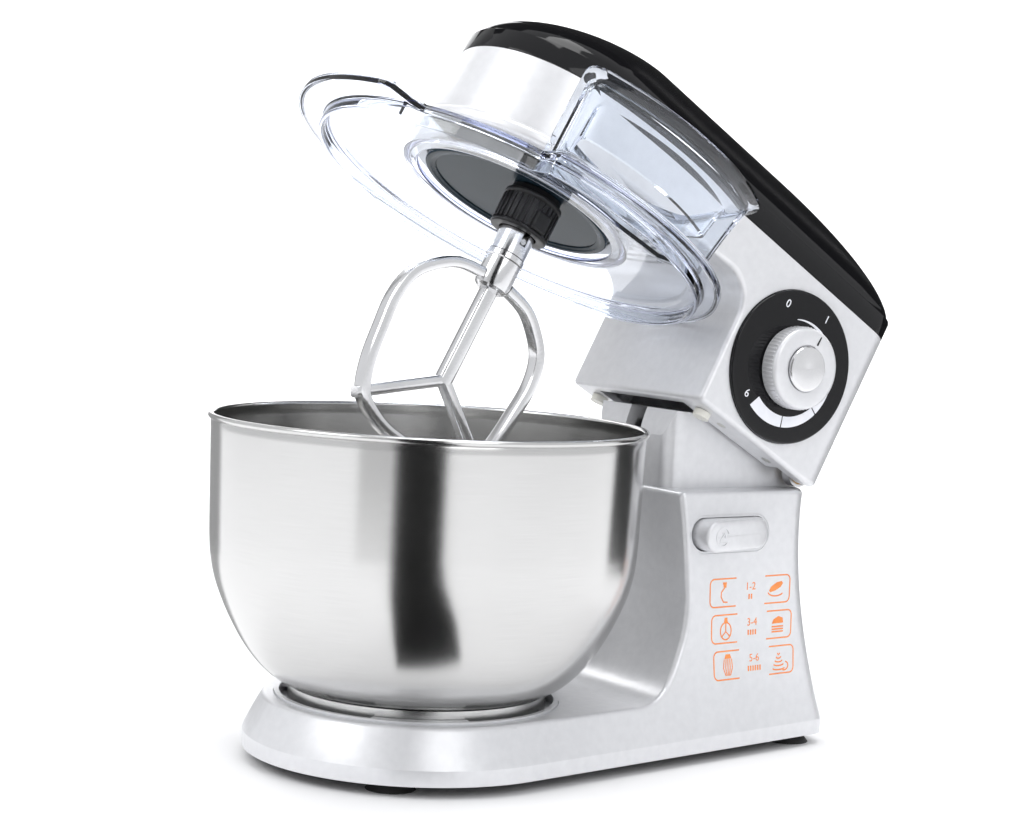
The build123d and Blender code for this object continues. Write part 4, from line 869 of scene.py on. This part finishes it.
def makeKnob():
    size = {"radius": 22.0, "back": 60.6, "front": 72.0, "cap": 12.0, "ribs": 64}
    r, front = size["radius"], size["front"]
    profile = [(0.01, size["back"]), (r - 0.6, size["back"]), (r, size["back"] + 0.6), (r, front - 2.4),
               (r - 0.25, front - 1.3), (r - 1.0, front - 0.5), (r - 2.2, front),
               (size["cap"] + 1.2, front - 0.5),
               (size["cap"] + 0.7, front - 0.6), (size["cap"] + 0.5, front - 1.6), (0.01, front - 1.6)]
    makePiece("knobGrip", *turnProfile(profile, (0, dial.y, dial.z), 128, "X"), silverLacquer,
              "speed_knob",
              "silver_plastic", True, 40.0, ("speed_knob",))
    # shallow flutes round the grip
    rib = boxShell((-0.4, -0.42, size["back"] + 1.4), (0.4, 0.42, front - 3.0), 0.3)
    sideways = Matrix.Translation((0, dial.y * mm, dial.z * mm)) @ Matrix(
        ((0, 0, 1, 0), (1, 0, 0, 0), (0, 1, 0, 0), (0, 0, 0, 1)))
    ribs = roundCircle("knobFlutes", rib, size["ribs"], r, 0.0, 2 * math.pi / size["ribs"], sideways,
                       silverLacquer)
    settlePiece("knobFlutes", ribs, silverLacquer, "speed_knob", True)
    # pointer line on the face
    pointer = boxShell((front - 0.9, dial.y - 0.5, dial.z + size["cap"] + 2.2),
                       (front + 0.05, dial.y + 0.5, dial.z + r - 2.6), 0.3)
    makePiece("knobPointer", *pointer, mattBlack, "speed_knob", "silver_plastic", True)
    cap = [(0.01, front - 1.8), (size["cap"] + 0.2, front - 1.8), (size["cap"] + 0.2, front + 0.6),
           (size["cap"] - 0.4, front + 1.3), (size["cap"] - 1.4, front + 1.6), (0.01, front + 0.9)]
    piece = makePiece("knobSpunCap", *turnProfile(cap, (0, dial.y, dial.z), 128, "X"), spunMetal,
                      "speed_knob",
                      "silver_plastic", True, 30.0, ("knob_cap",))
    centre = raiseHead @ (Vector((0, dial.y, dial.z)) * mm)
    layer = piece.data.uv_layers.new(name="turned")
    for polygon in piece.data.polygons:
        turns = []
        for index in polygon.vertices:
            away = piece.data.vertices[index].co - centre
            turns.append(math.atan2(away.z, away.y) / (2 * math.pi))
        for loopIndex, turn in zip(polygon.loop_indices, turns):
            away = piece.data.vertices[piece.data.loops[loopIndex].vertex_index].co - centre
            if turn - min(turns) > 0.5:
                turn -= 1.0
            layer.data[loopIndex].uv = (turn, math.hypot(away.y, away.z) * 20)


def makeSpunMetal():
    material, nodes, links, shader = newMaterial("spunCapMetal")
    shader.inputs["Metallic"].default_value = 1.0
    shader.inputs["Anisotropic"].default_value = 0.7
    shader.inputs["Anisotropic Rotation"].default_value = 0.25
    tangent = nodes.new("ShaderNodeTangent")
    tangent.direction_type = "UV_MAP"
    links.new(tangent.outputs["Tangent"], shader.inputs["Tangent"])
    rings = addNoise(nodes, links, 50, 4.0, (0.3, 14, 1), "UV")
    addTint(nodes, links, shader, rings, (0.76, 0.76, 0.77), (0.86, 0.86, 0.87))
    links.new(addRange(nodes, links, rings, 0.18, 0.26), shader.inputs["Roughness"])
    addBump(nodes, links, shader, rings, 0.06, 0.0001)
    return material


spunMetal = makeSpunMetal()
makeDialPrint()
makeKnob()
print("dial done")


# release button: a raised pill whose front stands proud
def makeButton():
    size = {"y": 83.0, "z": 119.5, "length": 52.0, "height": 17.0, "back": 44.0}
    half, r = size["length"] / 2, size["height"] / 2

    def faceX(y):
        share = (y - (size["y"] - half)) / size["length"]
        return 66.0 - 12.4 * (share ** 1.25) * (1 - 0.12 * (1 - share))

    def pill(inset):
        plan = []
        for side in (1, -1):
            for k in range(25):
                angle = -math.pi / 2 + math.pi * k / 24
                y = size["y"] + side * ((half - r) + (r - inset) * math.cos(angle))
                plan.append((y, size["z"] + side * (r - inset) * math.sin(angle)))
        return plan

    rings = [[(size["back"], y, z) for y, z in pill(0)]]
    for inset, drop in ((0, 2.0), (0.15, 1.2), (0.6, 0.5), (1.2, 0.15), (2.0, 0.0), (3.2, -0.1)):
        rings.append([(faceX(y) - drop, y, z) for y, z in pill(inset)])
    for share in (0.75, 0.5, 0.25, 0.02):
        rings.append([(faceX(y) + 0.1, y, size["z"] + (z - size["z"]) * share) for y, z in pill(3.2)])
    makePiece("releaseButtonPill", *skinRings(rings), silverLacquer, "release_button", "silver_plastic",
              False, 40.0,
              ("release_button",))
    # raised ring and arrow on the thumb end
    centreY = size["y"] - half + 11.5
    ring = []
    for k in range(37):
        angle = math.radians(20 + 300 * k / 36)
        ring.append((centreY + 5.0 * math.cos(angle), size["z"] + 5.0 * math.sin(angle)))
    strokes = [ring, [(centreY - 2.2, size["z"] - 2), (centreY + 2.0, size["z"] + 2.2)],
               [(centreY - 0.8, size["z"] + 2.2), (centreY + 2.2, size["z"] + 2.4),
                (centreY + 2.0, size["z"] - 0.8)],
               [(centreY - 2.8, size["z"] - 3.2), (centreY + 2.6, size["z"] - 3.2)]]
    shells = []
    for stroke in strokes:
        shells.append(ribbonOn(stroke, 0.7, lambda y, z: faceX(y) + 0.1, 0.22))
    points, faces = joinShells(shells)
    makePiece("releaseButtonMark", points, faces, silverLacquer, "release_button", "silver_plastic")


def ribbonOn(path, width, surface, proud, sunk=0.4):
    # a printed or raised line that lies on a side surface
    pts = [np.array(p, float) for p in path]
    rings = []
    for k, point in enumerate(pts):
        ahead = pts[min(k + 1, len(pts) - 1)]
        back = pts[max(k - 1, 0)]
        along = (ahead - back) / (np.linalg.norm(ahead - back) + 1e-9)
        side = np.array([-along[1], along[0]]) * width / 2
        corners = []
        for where, out in ((point + side, -sunk), (point - side, -sunk), (point - side, proud),
                           (point + side, proud)):
            corners.append((surface(where[0], where[1]) + out, where[0], where[1]))
        rings.append(corners)
    return skinRings(rings)


makeButton()


# orange guide printed on the column: tool, speed and what it is for
def sideSurface(node):
    mesh = frame["nodes"][node].data
    tree = BVHTree.FromPolygons([v.co[:] for v in mesh.vertices], [p.vertices[:] for p in mesh.polygons])

    def find(y, z):
        hit = tree.ray_cast(Vector((0.2, y * mm, z * mm)), Vector((-1, 0, 0)))
        return hit[0].x / mm
    return find


def makeGuide():
    size = {"left": 68.5, "right": 132.0, "top": 88.0, "row": 19.4, "tall": 15.0,
            "frame": 19.0,
            "line": 0.75}
    surface = sideSurface("base_shell")
    shells = []

    def line(path, width=size["line"]):
        shells.append(ribbonOn(path, width, surface, 0.08))

    def blob(path):
        low = [(surface(y, z) - 0.4, y, z) for y, z in path]
        high = [(surface(y, z) + 0.08, y, z) for y, z in path]
        shells.append(skinRings([low, high]))

    def arc(cy, cz, ry, rz, a0, a1, steps=12):
        return [(cy + ry * math.cos(math.radians(a0 + (a1 - a0) * k / steps)),
                 cz + rz * math.sin(math.radians(a0 + (a1 - a0) * k / steps))) for k in range(steps + 1)]

    numbers = []
    for row in range(3):
        z = size["top"] - size["row"] * row
        h = size["tall"] / 2
        left = size["left"] + row * 1.5
        right = size["right"] - 4 + row * 2.2
        # open frames, the left one round the tool and the right one round the food
        for y, way in ((left, 1), (right, -1)):
            end = y + way * size["frame"]
            corner = 3.0
            bend = [(y + way * corner * (1 - math.sin(math.radians(a))),
                     z + h - corner * (1 - math.cos(math.radians(a))))
                    for a in range(0, 91, 15)]
            foot = [(u, 2 * z - v) for u, v in bend[::-1]]
            line([(end, z + h), *bend, *foot, (end, z - h)])
        tool, food = left + 10.5, right - 10.5
        if row == 0:
            blob([(tool - 1.4, z + 5.6), (tool + 1.6, z + 5.6), (tool + 1.2, z + 2.6),
                  (tool - 0.6, z + 2.8)])
            line([(tool, z + 2.6), (tool - 2.2, z + 0.4), (tool - 2.4, z - 2.2), (tool - 0.6, z - 5),
                  (tool + 2.4, z - 5.2)])
            loaf = ((-5.2, -1.6), (-3.8, 0.6), (0.4, 2.8), (4.2, 3.4), (5.2, 2.2), (3.6, 0.2),
                    (-0.4, -1.6), (-4.2, -2.4))
            blob([(food + u, z + 0.8 + v) for u, v in loaf])
            line(arc(food, z - 1.2, 6.0, 2.6, 190, 330))
        elif row == 1:
            blob([(tool - 1.0, z + 6), (tool + 1.0, z + 6), (tool + 1.4, z + 3.2), (tool - 1.4, z + 3.2)])
            line(arc(tool, z - 1.2, 4.0, 4.6, 90, 450, 20))
            line([(tool, z + 3.2), (tool, z - 1.4)])
            line([(tool - 3.0, z - 4.2), (tool, z - 1.4), (tool + 3.0, z - 4.2)])
            blob([(food - 4.4, z + 0.4), (food - 3.2, z + 2.8), (food + 0.6, z + 4.4),
                  (food + 3.8, z + 3.4),
                  (food + 4.4, z + 0.6)])
            for drop in (-1.2, -2.6, -4.0):
                line([(food - 4.4, z + drop), (food + 4.4, z + drop)], 0.8)
        else:
            blob([(tool - 1.6, z + 5.8), (tool + 1.6, z + 5.8), (tool + 2.6, z + 3.4),
                  (tool - 2.6, z + 3.4)])
            for spread in (-3.4, -1.7, 0.0, 1.7, 3.4):
                line([(tool + spread * 0.8, z + 3.2), (tool + spread, z - 1.5),
                      (tool + spread * 0.5, z - 5.6)], 0.6)
            for level, reach in ((-4.6, 4.6), (-2.4, 3.8), (-0.4, 2.8), (1.6, 1.8), (3.6, 0.8)):
                line(arc(food - 1, z + level, reach, 0.9, 180, 360, 8))
            line(arc(food + 3.2, z - 3.6, 3.2, 2.4, 250, 430, 8))
        # speeds as numbers, with a bar for each step below them
        middle = (left + right) / 2
        number = textMesh(("1-2", "3-4", "5-6")[row], 4.2, facingSide(0, middle, z + 2.4))
        for vertex in number.vertices:
            vertex.co.x += (surface(vertex.co.y / mm, vertex.co.z / mm) - 0.05) * mm
        numbers.append(number)
        for k in range(row * 2 + 2):
            y = middle - (row * 2 + 1) * 0.9 + k * 1.8
            line([(y, z - 4.4), (y, z - 1.6)], 1.0)
    points, faces = joinShells(shells)
    lines = bpy.data.meshes.new("guideLines")
    lines.from_pydata([tuple(float(c) * mm for c in p) for p in points], [], [tuple(f) for f in faces])
    settlePiece("speedGuidePrint", mergeMeshes("guide", [lines, *numbers]), orangeInk, "base")


makeGuide()
print("button and printed guide done")


# studio: pale sweep, soft boxes and dark cards that give the metal its bands
def makeSweep():
    size = {"near": -3.0, "bend": 3.2, "radius": 1.0, "top": 4.5, "half": 5, "steps": 12}
    profile = [(size["near"], 0.0), (size["bend"], 0.0)]
    for k in range(1, size["steps"] + 1):
        angle = math.radians(90 * k / size["steps"])
        profile.append((size["bend"] + size["radius"] * math.sin(angle),
                        size["radius"] - math.cos(angle)))
    profile.append((size["bend"] + size["radius"], size["top"]))
    away = Vector((-0.8271, 0.5620, 0)).normalized()      # level direction that the camera faces
    side = Vector((away.y, -away.x, 0))
    points, faces = [], []
    for reach, height in profile:
        for across in (-size["half"], size["half"]):
            points.append(away * reach + side * across + Vector((0, 0, height)))
    for k in range(len(profile) - 1):
        faces.append((2 * k, 2 * k + 1, 2 * k + 3, 2 * k + 2))
    mesh = bpy.data.meshes.new("paleSweep")
    mesh.from_pydata([tuple(p) for p in points], [], faces)
    mesh.polygons.foreach_set("use_smooth", [True] * len(mesh.polygons))
    sweep = bpy.data.objects.new("paleSweep", mesh)
    bpy.context.scene.collection.objects.link(sweep)
    material, nodes, links, shader = newMaterial("palePaper")
    shader.inputs["Roughness"].default_value = 0.9
    shader.inputs["Specular IOR Level"].default_value = 0.1
    paper = addNoise(nodes, links, 2.0, 2.0)
    addTint(nodes, links, shader, paper, (0.93, 0.93, 0.935), (0.945, 0.945, 0.95))
    mesh.materials.append(material)


def makeCard(name, centre, toward, width, height, shade, foot=1.0):
    # a card out of the camera's sight that shows only in reflections; foot narrows its near edge
    centre = Vector(centre)
    facing = (Vector(toward) - centre).normalized()
    side = facing.cross(Vector((0, 0, 1))).normalized() * width / 2
    up = side.cross(facing).normalized() * height / 2
    mesh = bpy.data.meshes.new(name)
    corners = [tuple(centre + a * side + b * up) for a, b in ((-foot, -1), (foot, -1), (1, 1), (-1, 1))]
    mesh.from_pydata(corners, [], [(0, 1, 2, 3)])
    card = bpy.data.objects.new(name, mesh)
    bpy.context.scene.collection.objects.link(card)
    material, nodes, links, shader = newMaterial(name + "Cloth")
    shader.inputs["Roughness"].default_value = 0.95
    shader.inputs["Specular IOR Level"].default_value = 0.0
    weave = addNoise(nodes, links, 40, 2.0)
    addTint(nodes, links, shader, weave, (shade * 0.8,) * 3, (shade,) * 3)
    mesh.materials.append(material)
    card.visible_camera = False
    card.visible_diffuse = False
    card.visible_shadow = False
    card.visible_transmission = False


def makeLight(name, place, target, width, height, power):
    data = bpy.data.lights.new(name, "AREA")
    data.shape = "RECTANGLE"
    data.size, data.size_y = width, height
    data.energy = power
    lamp = bpy.data.objects.new(name, data)
    lamp.location = place
    lamp.rotation_euler = (Vector(target) - Vector(place)).to_track_quat("-Z", "Y").to_euler()
    bpy.context.scene.collection.objects.link(lamp)


def polar(azimuth, distance, height):
    # 0 degrees looks at the bowl end from the front, positive towards the dial side
    angle = math.radians(azimuth)
    return (math.sin(angle) * distance, -0.05 - math.cos(angle) * distance, height)


makeSweep()
mixerMiddle = (0, -0.02, 0.18)
middleY = -0.05                              # upright cards face this point of the mixer's length
uprightCards = (
    # name, bearing, distance, width, height, shade
    ("darkCard", 53, 0.75, 0.32, 0.9, 0.01), ("greyCard", 32, 0.80, 0.22, 0.9, 0.5),
    ("leftCard", -82, 0.6, 0.3, 0.9, 0.35), ("rearCard", 200, 0.5, 0.75, 0.8, 0.03))
for name, bearing, distance, width, height, shade in uprightCards:
    spot = polar(bearing, distance, height / 2)
    makeCard(name, spot, (0, middleY, spot[2]), width, height, shade)

floorGap, lean = 0.006, 0.005                # height over the floor, and a hair off level
floorCards = (
    # name, bearing, distance, width, length, shade, foot
    ("floorCard", 53, 0.44, 0.31, 0.62, 0.01, 0.2), ("leftFloorCard", -82, 0.36, 0.26, 0.5, 0.35, 0.3))
for name, bearing, distance, width, length, shade, foot in floorCards:
    makeCard(name, polar(bearing, distance, floorGap), polar(bearing, distance - lean, 1.0),
             width, length, shade, foot)
makeCard("overheadCard", (-1.1, 0.9, 1.9), (0, 0, 0.3), 3.4, 1.6, 0.02)

lamps = (
    # name, place, what it faces, width, height, power in watts
    ("keySoftBox", polar(-5, 1.9, 1.8), mixerMiddle, 1.3, 1.0, 15),
    ("fillSoftBox", polar(80, 2.2, 1.5), mixerMiddle, 1.2, 1.2, 8),
    ("topSoftBox", (0.2, 0.0, 2.1), mixerMiddle, 1.2, 0.8, 13),
    ("rearStrip", (-0.3, 1.9, 1.1), (0, 0.1, 0.35), 0.25, 1.2, 9),
    ("sideStrip", polar(-92, 1.9, 1.7), (0, -0.05, 0.35), 0.3, 1.3, 9),
    ("backdropLight", (-1.6, 1.1, 1.9), (-3.2, 2.1, 0.9), 2.4, 1.0, 70))
for lamp in lamps:
    makeLight(*lamp)

world = bpy.data.worlds.new("studioRoom")
world.use_nodes = True
background = world.node_tree.nodes["Background"]
background.inputs["Color"].default_value = (0.97, 0.98, 1.0, 1)
background.inputs["Strength"].default_value = 0.8
bpy.context.scene.world = world
bpy.context.scene.view_settings.view_transform = "Standard"


# camera
def makeCamera():
    size = {"place": (0.9677, -0.6841, 0.2665), "forward": (-0.8249, 0.5605, -0.0728),
            "roll": math.radians(3.0), "sensor": 36.0, "lens": 78.5}
    place, forward, roll = Vector(size["place"]), Vector(size["forward"]).normalized(), size["roll"]
    right = forward.cross(Vector((0, 0, 1))).normalized()
    up = right.cross(forward)
    level = math.cos(roll) * right + math.sin(roll) * up
    above = -math.sin(roll) * right + math.cos(roll) * up
    data = bpy.data.cameras.new("productCamera")
    data.sensor_width = size["sensor"]
    data.lens = size["lens"]
    camera = bpy.data.objects.new("productCamera", data)
    camera.matrix_world = Matrix.Translation(place) @ Matrix((level, above,
                                                              -forward)).transposed().to_4x4()
    bpy.context.scene.collection.objects.link(camera)
    bpy.context.scene.camera = camera


makeCamera()
print("studio and camera done")
